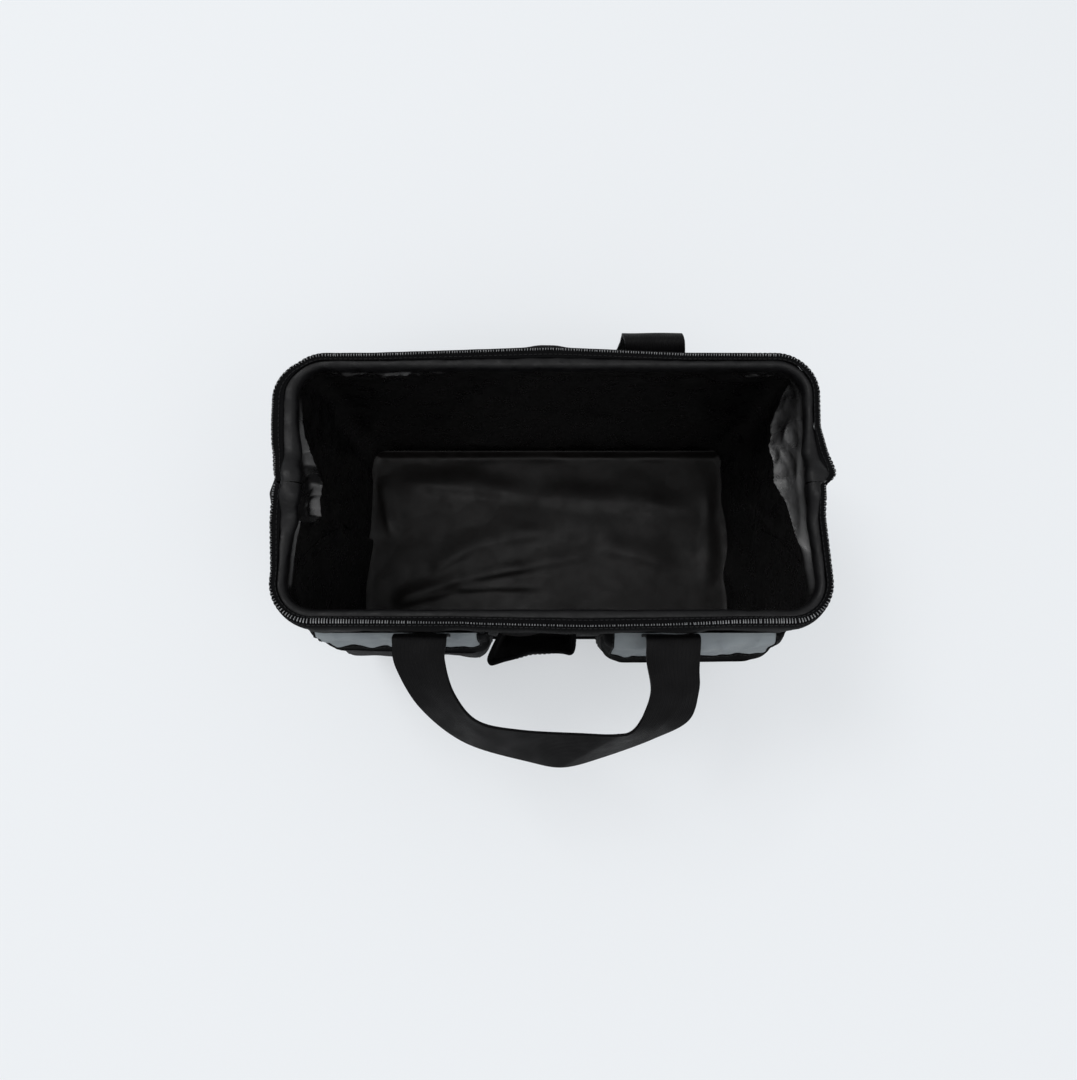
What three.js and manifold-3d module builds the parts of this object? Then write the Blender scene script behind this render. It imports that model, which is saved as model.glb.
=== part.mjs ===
// Zippered tool bag with a wide mouth, standing open on its base.
// Millimetres, +Z up, +X to the bag's right, front towards -Y.
// The origin is the centre of the base's underside.
import * as THREE from 'three';
import { mergeVertices } from 'three/addons/utils/BufferGeometryUtils.js';
import Module from 'manifold-3d';

const wasm = await Module();
wasm.setup();

// Clearance between touching pieces
const gap = 0.3;

// Base
const baseLength = 400;
const baseWidth = 200;
const basePanelThickness = 2;
const baseBoardThickness = 2.4;
const baseBoardInset = 7.5;
const floorLiningThickness = 0.8;
const floorLiningInset = 6.5;

// Walls
const wallThickness = 2.4;
const liningThickness = 0.8;
const wallFlare = 6;
const endCornerRadius = 25;
const seamX = baseLength / 2 - endCornerRadius;
const endSplit = 95;
const leftRidge = 17;
const rightFlare = 8;
const ridgeRise = 0.86;

// Mouth frames: a bent steel wire whose ends are pressed flat, punched and riveted
const pivotHeight = 232;
const pivotInset = 6.5;
const pivotX = baseLength / 2 - pivotInset;
const legCornerInset = 3;
const legCornerX = baseLength / 2 - legCornerInset;
const barInset = 9.5;
const barY = baseWidth / 2 + wallFlare - barInset;
const rimCornerRadius = 25;
const earDrop = 8.4;
const sleeveHeight = pivotHeight - earDrop;
const wireRadius = 2.5;
const earThickness = 1.6;
const earRadius = 4.5;
const earReach = 13;
const wireStart = 12;
const rivetRadius = 1.9;
const rivetHeadRadius = 4;
const rivetHeadThickness = 1.4;
const rivetHeadBevel = 0.6;
const rivetClearance = 0.2;

// Hem sleeve, zip tape and zip teeth round the mouth
const sleeveRadius = 6;
const sleeveBore = 3.2;
const sleeveSeam = 0.4;
const wallTop = sleeveHeight - sleeveRadius - sleeveSeam;
const tapeThickness = 0.8;
const tapeInner = 2.5;
const tapeShoulder = 8;
const tapeReach = 12;
const tapeEdgeInset = 1.6;
const tapeEdgeDrop = 3;
const tapeSkirt = 5.4;
const tapeBottom = sleeveHeight - tapeSkirt;
const toothInner = 5;
const toothRoot = 6.7;
const toothTip = 8.4;
const toothPitch = 2;
const toothHeight = 1.6;
const toothStart = 3;

// Zip tail, slider and pull on the outside of the right end
const tailHalfWidth = 10;
const tailLength = 48;
const tailBottom = pivotHeight - tailLength;
const tailTopDrop = 1.4;
const tailOffset = 9.1;
const tailX = pivotX + tailOffset;
const tailThickness = 0.8;
const sliderWidth = 9;
const sliderLength = 13;
const sliderDepth = 3.6;
const sliderRise = 9;
const sliderCentre = tailBottom + sliderRise;
const bailReach = 4.4;
const bailWidth = 1.4;
const bailWall = 1.3;
const bailLength = 8;
const bailBevel = 1.5;
const bailSink = 1;
const pullWidth = 7;
const pullLength = 27;
const pullThickness = 1.4;
const pullHole = 2;
const pullPlay = 0.4;

// Carrying handles of flat web
const webWidth = 39;
const webThickness = 2.4;
const handleCentreX = -3;
const handleHalfSpan = 93.5;
const handleLength = 90;
const handleSag = 30;
const handleTilt = 54;
const frontHandleOut = 6.6;
const frontHandleY = baseWidth / 2 + wallFlare + frontHandleOut;
const frontHandleDrop = 4.6;
const frontHandleZ = wallTop - frontHandleDrop;
const rearHandleOut = 15.5;
const rearHandleY = baseWidth / 2 + wallFlare + rearHandleOut;
const rearHandleDrop = 2.6;
const rearHandleZ = wallTop - rearHandleDrop;
const rearHandleLean = 0.14;
const handlePlay = 0.5;
const anchorRun = 6.6;
const anchorBend = frontHandleZ - anchorRun;
const anchorTurn = 1;
const anchorLength = 19;
const anchorBottom = anchorBend - anchorLength;

// Pockets and flaps on the front wall
const flapRootDrop = 13;
const flapRoot = anchorBottom - flapRootDrop;
const pocketBottom = 30;
const pocketMouthDrop = 18;
const pocketTop = flapRoot - pocketMouthDrop;
const pocketDepthBottom = 16;
const pocketDepthTop = 21;
const pocketThickness = 1.6;
const flapThickness = 2;
const flapOverhang = 2;
const flapSkirt = 26;
const flapBottom = pocketTop - flapSkirt;
const flapShelf = 9;
const flapShelfDrop = 2;
const flapBrow = 10;
const flapBrowSetback = 1;
const flapFold = 2;
const flapClearance = 2.8;
const flapSplay = 0.6;
const bindingWidth = 6;
const bindingThickness = 2.8;
const centrePocketX = -11;
const centrePocketHalfWidth = 30;
const centrePocketFlare = 6;
const centrePocketBottom = 62;
const centreMouthDrop = 6;
const centrePocketTop = pocketTop - centreMouthDrop;
const centrePocketDepth = 18;
const centreBindingHeight = 7;
const centreBindingProud = 0.3;
const centrePocketEdge = centrePocketHalfWidth + centrePocketFlare;
const leftPocketOver = 11;
const leftPocketSpace = 3;
const rightPocketOver = 1;
const rightPocketSpace = 15;
const leftPocketEdges = [-seamX - leftPocketOver, centrePocketX - centrePocketEdge - leftPocketSpace];
const rightPocketEdges = [centrePocketX + centrePocketEdge + rightPocketSpace, seamX + rightPocketOver];

// Finishes
const fabric = new THREE.MeshStandardMaterial({ color: 0x17181b, roughness: 0.88, metalness: 0 });
const lining = new THREE.MeshStandardMaterial({ color: 0x1e1e20, roughness: 0.62, metalness: 0 });
const board = new THREE.MeshStandardMaterial({ color: 0x35302b, roughness: 0.9, metalness: 0 });
const web = new THREE.MeshStandardMaterial({ color: 0x1c1c1e, roughness: 0.8, metalness: 0 });
const flapGrey = new THREE.MeshStandardMaterial({ color: 0x878d95, roughness: 0.85, metalness: 0 });
const steel = new THREE.MeshStandardMaterial({ color: 0x9a9c9f, roughness: 0.4, metalness: 0.9 });
const zipSilver = new THREE.MeshStandardMaterial({ color: 0x8c8f94, roughness: 0.45, metalness: 0.3 });

const bag = new THREE.Group();

function add(name, geometry, material) {
  const mesh = new THREE.Mesh(geometry, material);
  mesh.name = name;
  bag.add(mesh);
  return mesh;
}

// Solid geometry for cuts and joins
function toSolid(geometry) {
  const bare = geometry.clone();
  bare.deleteAttribute('normal');
  bare.deleteAttribute('uv');
  const merged = mergeVertices(bare, 1e-4);
  return new wasm.Manifold(new wasm.Mesh({
    numProp: 3,
    vertProperties: new Float32Array(merged.attributes.position.array),
    triVerts: new Uint32Array(merged.index.array),
  }));
}

function fromSolid(solid) {
  const mesh = solid.getMesh();
  const geometry = new THREE.BufferGeometry();
  geometry.setAttribute('position', new THREE.BufferAttribute(new Float32Array(mesh.vertProperties), 3));
  geometry.setIndex(new THREE.BufferAttribute(new Uint32Array(mesh.triVerts), 1));
  geometry.computeVertexNormals();
  return geometry;
}

function roundedRectangle(length, width, radius) {
  const shape = new THREE.Shape();
  const x = length / 2 - radius;
  const y = width / 2 - radius;
  shape.absarc(x, y, radius, 0, Math.PI / 2);
  shape.absarc(-x, y, radius, Math.PI / 2, Math.PI);
  shape.absarc(-x, -y, radius, Math.PI, Math.PI * 1.5);
  shape.absarc(x, -y, radius, Math.PI * 1.5, Math.PI * 2);
  return shape;
}

function plate(shape, bottom, thickness, curveSegments = 6) {
  const geometry = new THREE.ExtrudeGeometry(shape, { depth: thickness, bevelEnabled: false, curveSegments });
  geometry.translate(0, 0, bottom);
  return geometry;
}

// A profile in Y and Z, extruded along X from one place to another
const profileToX = new THREE.Matrix4().makeBasis(
  new THREE.Vector3(0, 1, 0), new THREE.Vector3(0, 0, 1), new THREE.Vector3(1, 0, 0));

function alongX(profile, from, to) {
  const shape = profile instanceof THREE.Shape ? profile
    : new THREE.Shape(profile.map(([y, z]) => new THREE.Vector2(y, z)));
  const geometry = new THREE.ExtrudeGeometry(shape, {
    depth: to - from, bevelEnabled: false, curveSegments: 8 });
  geometry.applyMatrix4(profileToX);
  geometry.translate(from, 0, 0);
  return geometry;
}

// Evenly spaced values from one to another
function spaced(from, to, steps) {
  return Array.from({ length: steps + 1 }, (_, index) => from + (to - from) * index / steps);
}

// A closed sheet over a surface, from one depth under it to another. Rows lists the second parameter's values
function sheet(columns, values, surface, outerDepth, innerDepth) {
  const step = 1e-3;
  const rows = values.length - 1;
  const first = values[0];
  const last = values[rows];
  const rise = (last - first) * step;
  const across = columns + 1;
  const points = [];
  const place = (u, v) => {
    const here = surface(u, v);
    const alongU = surface(Math.min(u + step, 1), v).sub(surface(Math.max(u - step, 0), v));
    const alongV = surface(u, Math.min(v + rise, last)).sub(surface(u, Math.max(v - rise, first)));
    return { here, normal: alongU.cross(alongV).normalize() };
  };
  for (const depth of [outerDepth, innerDepth]) {
    for (const value of values) {
      for (let column = 0; column <= columns; column += 1) {
        const { here, normal } = place(column / columns, value);
        const point = here.addScaledVector(normal, -depth);
        points.push(point.x, point.y, point.z);
      }
    }
  }
  const under = across * (rows + 1);
  const faces = [];
  const quad = (a, b, c, d) => faces.push(a, b, c, a, c, d);
  for (let row = 0; row < rows; row += 1) {
    for (let column = 0; column < columns; column += 1) {
      const a = row * across + column;
      quad(a, a + 1, a + across + 1, a + across);
      quad(under + a, under + a + across, under + a + across + 1, under + a + 1);
    }
  }
  for (let column = 0; column < columns; column += 1) {
    const upper = rows * across + column;
    quad(column, under + column, under + column + 1, column + 1);
    quad(upper, upper + 1, under + upper + 1, under + upper);
  }
  for (let row = 0; row < rows; row += 1) {
    const left = row * across;
    const right = left + columns;
    quad(left, left + across, under + left + across, under + left);
    quad(right, under + right, under + right + across, right + across);
  }
  const geometry = new THREE.BufferGeometry();
  geometry.setAttribute('position', new THREE.Float32BufferAttribute(points, 3));
  geometry.setIndex(faces);
  geometry.computeVertexNormals();
  return geometry;
}

// The walls' outer face leans out a little from the base to the mouth
const wallBottom = basePanelThickness + gap;

function wallY(z) {
  return baseWidth / 2 + wallFlare * (z - wallBottom) / (wallTop - wallBottom);
}

function wallSlab(outerDepth, innerDepth, side) {
  const bottom = baseWidth / 2;
  const top = bottom + wallFlare;
  const profile = [
    [side * (bottom - outerDepth), wallBottom],
    [side * (top - outerDepth), wallTop],
    [side * (top - innerDepth), wallTop],
    [side * (bottom - innerDepth), wallBottom],
  ];
  return alongX(profile, -seamX + gap, seamX - gap);
}

// Base: outer panel, stiff board and floor lining
const boardBottom = basePanelThickness + gap;
const floorBottom = boardBottom + baseBoardThickness + gap;
const boardRadius = endCornerRadius - baseBoardInset;
const floorRadius = endCornerRadius - floorLiningInset;
add('base_panel', plate(roundedRectangle(
  baseLength, baseWidth, endCornerRadius), 0, basePanelThickness), fabric);
add('base_board', plate(roundedRectangle(
  baseLength - 2 * baseBoardInset, baseWidth - 2 * baseBoardInset, boardRadius),
boardBottom, baseBoardThickness), board);
add('floor_lining', plate(roundedRectangle(
  baseLength - 2 * floorLiningInset, baseWidth - 2 * floorLiningInset, floorRadius),
floorBottom, floorLiningThickness), lining);

// Long walls and their linings
for (const [name, side] of [['front', -1], ['rear', 1]]) {
  add(`${name}_panel`, wallSlab(0, wallThickness, side), fabric);
  add(`${name}_lining`, wallSlab(wallThickness + gap, wallThickness + gap + liningThickness, side), lining);
}

// End walls turn both corners. Their upper gusset bulges where it folds when the mouth shuts
function endPoint(side, u, z) {
  const y = wallY(z);
  const corner = 0.25;
  const reach = seamX + gap;
  const radius = baseLength / 2 - reach;
  const straight = y - radius;
  const point = new THREE.Vector3();
  if (u < corner || u > 1 - corner) {
    const turn = (u < corner ? u : 1 - u) / corner * Math.PI / 2;
    point.set(reach + radius * Math.sin(turn), -(straight + radius * Math.cos(turn)), z);
    if (u > corner) point.y = -point.y;
  } else {
    point.set(reach + radius, -straight + 2 * straight * (u - corner) / (1 - 2 * corner), z);
  }
  const height = THREE.MathUtils.clamp((z - endSplit) / (wallTop - endSplit), 0, 1);
  const rise = height < ridgeRise ? Math.sin(height / ridgeRise * Math.PI / 2) ** 2
    : Math.cos((height - ridgeRise) / (1 - ridgeRise) * Math.PI / 3);
  if (side < 0) {
    point.x += leftRidge * rise * Math.max(0, 1 - Math.abs(point.y / straight)) ** 1.3;
  } else {
    const swell = THREE.MathUtils.clamp(point.y / straight, 0, 1);
    point.x += rightFlare * rise * Math.sin(swell * Math.PI) ** 2;
  }
  point.x *= side;
  if (side < 0) point.y = -point.y;
  return point;
}

function endWall(side, heights, outerDepth, innerDepth) {
  return sheet(16, heights, (u, z) => endPoint(side, u, z), outerDepth, innerDepth);
}

const endHeights = [wallBottom, ...spaced(endSplit, wallTop, 7)];

for (const [name, side] of [['left', -1], ['right', 1]]) {
  // The stiff lower panel lies between the corners, and the gusset is the rest of the end
  const liningDepth = wallThickness + gap;
  const whole = toSolid(endWall(side, endHeights, 0, wallThickness));
  const block = (grow) => {
    const width = 2 * (baseWidth / 2 - endCornerRadius + grow);
    const box = new THREE.BoxGeometry(baseLength, width, 2 * (endSplit + grow));
    return toSolid(box.translate(side * baseLength / 2, 0, 0));
  };
  add(`${name}_end_panel`, fromSolid(whole.intersect(block(0))), fabric);
  add(`${name}_end_gusset`, fromSolid(whole.subtract(block(gap))), fabric);
  add(`${name}_end_lining`, endWall(side, endHeights, liningDepth, liningDepth + liningThickness), lining);
}

// The half mouth: down one leg, round a corner, along the bar and back up the other leg
function mouthStations(pivotLegX, start) {
  const stations = [];
  const turnY = barY - rimCornerRadius;
  const centreX = legCornerX - rimCornerRadius;
  const slope = new THREE.Vector3(pivotLegX - legCornerX, start - turnY, 0).normalize();
  stations.push({ point: new THREE.Vector3(-pivotLegX, -start, 0), tangent: slope.clone() });
  const turns = 4;
  for (let step = 0; step <= turns; step += 1) {
    const angle = step / turns * Math.PI / 2;
    stations.push({
      point: new THREE.Vector3(-centreX - rimCornerRadius * Math.cos(angle),
        -turnY - rimCornerRadius * Math.sin(angle), 0),
      tangent: new THREE.Vector3(Math.sin(angle), -Math.cos(angle), 0),
    });
  }
  const mirrored = stations.map(({ point, tangent }) => ({
    point: new THREE.Vector3(-point.x, point.y, 0),
    tangent: new THREE.Vector3(tangent.x, -tangent.y, 0),
  })).reverse();
  return [...stations, ...mirrored];
}

class MouthPath extends THREE.Curve {
  constructor(stations) {
    super();
    this.stations = stations;
  }

  getPoint(t) {
    const place = t * (this.stations.length - 1);
    const before = Math.min(Math.floor(place + 1e-9), this.stations.length - 2);
    return this.stations[before].point.clone().lerp(this.stations[before + 1].point, place - before);
  }

  getPointAt(t) {
    return this.getPoint(t);
  }

  getTangentAt(t) {
    return this.stations[Math.round(t * (this.stations.length - 1))].tangent.clone();
  }
}

// A section given by its distance outward from the wire and its height, swept round the half mouth
function sweep(section, pivotLegX, start, hole) {
  const toVector = ([out, z]) => new THREE.Vector2(-z, -out);
  const shape = new THREE.Shape(section.map(toVector));
  if (hole) shape.holes.push(new THREE.Path(hole.map(toVector)));
  const stations = mouthStations(pivotLegX, start);
  return new THREE.ExtrudeGeometry(shape, {
    steps: stations.length - 1,
    bevelEnabled: false,
    extrudePath: new MouthPath(stations),
  });
}

function circle(radius, sides) {
  const points = [];
  for (let side = 0; side < sides; side += 1) {
    const angle = (side + 0.5) / sides * Math.PI * 2;
    points.push([radius * Math.cos(angle), sleeveHeight + radius * Math.sin(angle)]);
  }
  return points;
}

// The flattened end of a frame, with its rivet hole
function ear(x) {
  const shape = new THREE.Shape();
  shape.absarc(0, 0, earRadius, -Math.PI * 0.38, Math.PI * 0.72);
  shape.lineTo(-earReach, -earDrop + wireRadius);
  shape.lineTo(-earReach - earRadius, -earDrop + wireRadius);
  shape.lineTo(-earReach - earRadius, -earDrop - wireRadius);
  shape.lineTo(-earReach + earRadius, -earDrop - wireRadius);
  const hole = new THREE.Path();
  hole.absarc(0, 0, rivetRadius + rivetClearance, 0, Math.PI * 2, true);
  shape.holes.push(hole);
  const geometry = alongX(shape, x - earThickness / 2, x + earThickness / 2);
  geometry.translate(0, 0, pivotHeight);
  return geometry;
}

// The zip teeth: a band with one pointed tooth at each step of the pitch
function toothBand(pivotLegX, bottom) {
  const stations = mouthStations(pivotLegX, toothStart);
  const outward = (tangent) => new THREE.Vector3(tangent.y, -tangent.x, 0).normalize();
  const roots = [];
  const tips = [];
  const inners = [];
  const teethPerSpan = 10;
  let carried = 0;
  let steps = 0;
  for (let part = 0; part < stations.length - 1; part += 1) {
    const a = stations[part];
    const b = stations[part + 1];
    const length = a.point.distanceTo(b.point);
    for (; carried < length; carried += toothPitch / 2) {
      const point = a.point.clone().lerp(b.point, carried / length);
      const normal = outward(a.tangent.clone().lerp(b.tangent, carried / length));
      const onTip = steps % 2 === 1;
      (onTip ? tips : roots).push(point.clone().addScaledVector(normal, onTip ? toothTip : toothRoot));
      if (!onTip) inners.push(point.clone().addScaledVector(normal, toothInner));
      steps += 1;
    }
    carried -= length;
  }
  const teeth = Math.min(tips.length, roots.length - 1);
  const spanEnds = inners.slice(0, teeth + 1)
    .filter((_, index) => index % teethPerSpan === 0 || index === teeth);
  const outline = [...roots.slice(0, teeth + 1), ...tips.slice(0, teeth), ...spanEnds];
  const tipAt = teeth + 1;
  const innerAt = tipAt + teeth;
  const count = outline.length;
  const faces = [];
  const cap = (i, j, k) => faces.push(count + i, count + j, count + k, k, j, i);
  const side = (i, j) => faces.push(i, j, count + j, i, count + j, count + i);
  for (let tooth = 0; tooth < teeth; tooth += 1) {
    const inner = innerAt + Math.floor(tooth / teethPerSpan);
    cap(tooth, tipAt + tooth, tooth + 1);
    cap(inner, tooth, tooth + 1);
    side(tooth, tipAt + tooth);
    side(tipAt + tooth, tooth + 1);
  }
  for (let span = 0; span < spanEnds.length - 1; span += 1) {
    cap(innerAt + span, Math.min((span + 1) * teethPerSpan, teeth), innerAt + span + 1);
    side(innerAt + span + 1, innerAt + span);
  }
  side(teeth, count - 1);
  side(innerAt, 0);
  const points = [bottom, bottom + toothHeight].flatMap((z) => outline.flatMap(({ x, y }) => [x, y, z]));
  const geometry = new THREE.BufferGeometry();
  geometry.setAttribute('position', new THREE.Float32BufferAttribute(points, 3));
  geometry.setIndex(faces);
  geometry.computeVertexNormals();
  return geometry;
}

const tapeTop = sleeveHeight + sleeveRadius - gap;
const tapeSection = [
  [tapeInner, tapeTop], [tapeShoulder, tapeTop - gap],
  [tapeReach - tapeEdgeInset, tapeTop - tapeEdgeDrop], [tapeReach, tapeBottom],
  [tapeReach + tapeThickness, tapeBottom],
  [tapeReach - tapeEdgeInset + tapeThickness, tapeTop - tapeEdgeDrop + tapeThickness / 2],
  [tapeShoulder + tapeThickness / 2, tapeTop + tapeThickness - gap], [tapeInner, tapeTop + tapeThickness],
];
const toothBottom = tapeTop + tapeThickness + gap;
const sleeveStart = earReach + gap;
const halfTurn = new THREE.Matrix4().makeRotationZ(Math.PI);

for (const name of ['front', 'rear']) {
  // The front frame's ears lie outside the rear frame's ears on both rivets
  const earShift = (earThickness + gap) / 2 * (name === 'front' ? 1 : -1);
  const legX = pivotX + earShift;
  const wireShape = toSolid(sweep(circle(wireRadius, 8), legX, wireStart));
  const frame = fromSolid(wireShape.add(toSolid(ear(legX))).add(toSolid(ear(-legX))));
  const sleeve = sweep(circle(sleeveRadius, 10), legX, sleeveStart, circle(sleeveBore, 8).reverse());
  const tape = sweep(tapeSection, legX, sleeveStart);
  const teeth = toothBand(legX, toothBottom);
  const pieces = [['frame', frame, steel], ['hem_sleeve', sleeve, fabric],
    ['zip_tape', tape, fabric], ['zip_teeth', teeth, zipSilver]];
  for (const [part, geometry, material] of pieces) {
    if (name === 'rear') geometry.applyMatrix4(halfTurn);
    add(`${name}_${part}`, geometry, material);
  }
}

// Rivets through the two ears at each end of the mouth
for (const [name, side] of [['left', -1], ['right', 1]]) {
  const grip = earThickness + gap / 2 + gap;
  const head = grip + rivetHeadThickness;
  const profile = [
    [0, -head], [rivetHeadRadius * 0.6, -head], [rivetHeadRadius, -head + rivetHeadBevel],
    [rivetHeadRadius, -grip], [rivetRadius, -grip], [rivetRadius, grip], [rivetHeadRadius, grip],
    [rivetHeadRadius, head - rivetHeadBevel], [rivetHeadRadius * 0.6, head], [0, head],
  ].map(([radius, along]) => new THREE.Vector2(radius, along));
  const geometry = new THREE.LatheGeometry(profile, 16);
  geometry.rotateZ(-Math.PI / 2);
  geometry.translate(side * pivotX, 0, pivotHeight);
  add(`${name}_rivet`, geometry, steel);
}

// Zip tail: the end of the zip, folded over the right rivet and sewn down the outside
const tailTop = sleeveHeight + sleeveRadius - tailTopDrop;
const tailStart = pivotX + earThickness + gap * 1.5 + rivetHeadThickness + gap;
const tailProfile = [
  [tailStart, tailTop], [tailX, tailTop], [tailX, tailBottom],
  [tailX + tailThickness, tailBottom], [tailX + tailThickness, tailTop + tailThickness],
  [tailStart, tailTop + tailThickness],
];
const profileToY = new THREE.Matrix4().makeBasis(
  new THREE.Vector3(1, 0, 0), new THREE.Vector3(0, 0, 1), new THREE.Vector3(0, -1, 0));

function alongY(profile, from, to) {
  const shape = profile instanceof THREE.Shape ? profile
    : new THREE.Shape(profile.map(([x, z]) => new THREE.Vector2(x, z)));
  const geometry = new THREE.ExtrudeGeometry(shape, {
    depth: to - from, bevelEnabled: false, curveSegments: 8 });
  geometry.applyMatrix4(profileToY);
  geometry.translate(0, to, 0);
  return geometry;
}

add('zip_tail', alongY(tailProfile, -tailHalfWidth, tailHalfWidth), fabric);

// Slider: a rounded body with the bail that its pull swings on
const sliderFace = tailX + tailThickness + gap;
const sliderShape = roundedRectangle(sliderWidth, sliderLength, sliderWidth * 0.3);
const sliderBody = new THREE.ExtrudeGeometry(sliderShape, {
  depth: sliderDepth, bevelEnabled: false, curveSegments: 4 });
sliderBody.applyMatrix4(profileToX);
sliderBody.translate(sliderFace, 0, sliderCentre);
const bailFace = sliderFace + sliderDepth;
const bailShape = new THREE.Shape([
  [bailFace - bailSink, sliderCentre - bailLength / 2], [bailFace + bailReach, sliderCentre - bailLength / 2],
  [bailFace + bailReach, sliderCentre + bailLength / 2 - bailBevel],
  [bailFace + bailReach - bailBevel, sliderCentre + bailLength / 2],
  [bailFace - bailSink, sliderCentre + bailLength / 2],
].map(([x, z]) => new THREE.Vector2(x, z)));
bailShape.holes.push(new THREE.Path([
  [bailFace, sliderCentre - bailLength / 2 + bailWall],
  [bailFace, sliderCentre + bailLength / 2 - bailWall],
  [bailFace + bailReach - bailWall, sliderCentre + bailLength / 2 - bailWall],
  [bailFace + bailReach - bailWall, sliderCentre - bailLength / 2 + bailWall],
].map(([x, z]) => new THREE.Vector2(x, z))));
const bail = alongY(bailShape, -bailWidth / 2, bailWidth / 2);
add('zip_slider', fromSolid(toSolid(sliderBody).add(toSolid(bail))), zipSilver);

// Pull: a flat tab, waisted, with a hole round the bail's outer bar
const pullTop = sliderCentre - bailLength / 2 + bailWall;
const pullX = bailFace + bailReach - bailWall - gap - pullThickness;
const pullShape = new THREE.Shape();
pullShape.absarc(0, 0, pullWidth / 2, 0, Math.PI);
pullShape.lineTo(-pullWidth * 0.36, -pullLength * 0.4);
pullShape.lineTo(-pullWidth / 2, -pullLength + pullWidth);
pullShape.lineTo(-pullWidth * 0.3, -pullLength + pullWidth / 2);
pullShape.lineTo(pullWidth * 0.3, -pullLength + pullWidth / 2);
pullShape.lineTo(pullWidth / 2, -pullLength + pullWidth);
pullShape.lineTo(pullWidth * 0.36, -pullLength * 0.4);
const pullEye = new THREE.Path();
pullEye.absarc(0, 0, pullHole, 0, Math.PI * 2, true);
pullShape.holes.push(pullEye);
const pull = new THREE.ExtrudeGeometry(pullShape, {
  depth: pullThickness, bevelEnabled: false, curveSegments: 8 });
pull.applyMatrix4(profileToX);
pull.translate(pullX, 0, pullTop + pullPlay - pullHole);
add('zip_pull', pull, zipSilver);

// Web handles: legs flat on the wall, twisting to a tilted grip
function handlePoint(rear, u, v) {
  const turn = u * Math.PI;
  const power = 0.72;
  const place = (angle) => {
    const cosine = Math.cos(angle);
    const out = handleLength * Math.max(Math.sin(angle), 0) ** power;
    const x = -handleHalfSpan * Math.sign(cosine) * Math.abs(cosine) ** power;
    return new THREE.Vector2(x, out);
  };
  const here = place(turn);
  const step = 0.02;
  const along = place(Math.min(turn + step, Math.PI)).sub(place(Math.max(turn - step, 0))).normalize();
  const outward = new THREE.Vector2(-along.y, along.x);
  const share = here.y / handleLength;
  const tilt = THREE.MathUtils.degToRad(handleTilt) * THREE.MathUtils.smoothstep(share, 0.4, 0.95);
  const across = (v - 0.5) * webWidth;
  const inPlane = here.clone().addScaledVector(outward, across * Math.cos(tilt));
  const lift = across * Math.sin(tilt);
  const sag = handleSag * share * share;
  if (rear) {
    return new THREE.Vector3(handleCentreX + inPlane.x,
      rearHandleY + inPlane.y * rearHandleLean + lift, rearHandleZ - inPlane.y);
  }
  return new THREE.Vector3(handleCentreX + inPlane.x, -frontHandleY - inPlane.y, frontHandleZ - sag - lift);
}

for (const [name, rear] of [['front', false], ['rear', true]]) {
  const surface = (u, v) => handlePoint(rear, u, v);
  add(`${name}_handle`, sheet(28, spaced(0, 1, 2), surface, -webThickness / 2, webThickness / 2), web);
}

// Anchor patches: the handle legs' ends, sewn on the walls and turned out at the top
function anchorProfile(rear) {
  const face = (z) => wallY(z) + gap;
  const tipY = rear ? rearHandleY - webThickness / 2 - gap : frontHandleY - handlePlay;
  const tipZ = rear ? rearHandleZ : frontHandleZ;
  const half = webThickness / 2;
  return [
    [face(anchorBottom), anchorBottom],
    [face(anchorBend), anchorBend],
    [face(anchorBend) + anchorTurn, anchorBend + half + 2 * anchorTurn],
    [tipY - half, tipZ + half],
    [tipY, tipZ + half],
    [tipY, tipZ - half],
    [face(anchorBend) + webThickness + anchorTurn, anchorBend - anchorTurn],
    [face(anchorBottom) + webThickness, anchorBottom],
  ];
}

for (const [wall, rear] of [['front', false], ['rear', true]]) {
  for (const [name, side] of [['left', -1], ['right', 1]]) {
    const middle = handleCentreX + side * handleHalfSpan;
    const sign = rear ? 1 : -1;
    const profile = anchorProfile(rear).map(([y, z]) => [sign * y, z]);
    add(`${wall}_${name}_anchor`, alongX(profile, middle - webWidth / 2, middle + webWidth / 2), web);
  }
}

// Flap pockets: an open-topped body and a flap bound on its three free edges
function flapSection(thickness, bottom) {
  const root = wallY(flapRoot) + 2 * gap;
  const lip = wallY(pocketTop) + pocketDepthTop;
  const line = [
    [root, flapRoot], [root + flapShelf, flapRoot - flapShelfDrop],
    [lip - flapBrowSetback, pocketTop + flapBrow],
    [lip + flapClearance, pocketTop + flapFold], [lip + flapClearance + flapSplay, bottom],
  ];
  const outer = [
    [0, thickness], [thickness * 0.35, thickness], [thickness * 0.7, thickness * 0.7],
    [thickness, thickness * 0.2], [thickness, 0],
  ];
  const skin = line.map(([y, z], index) => [y + outer[index][0], z + outer[index][1]]);
  return [...line, ...skin.reverse()].map(([y, z]) => [-y, z]);
}

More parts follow.
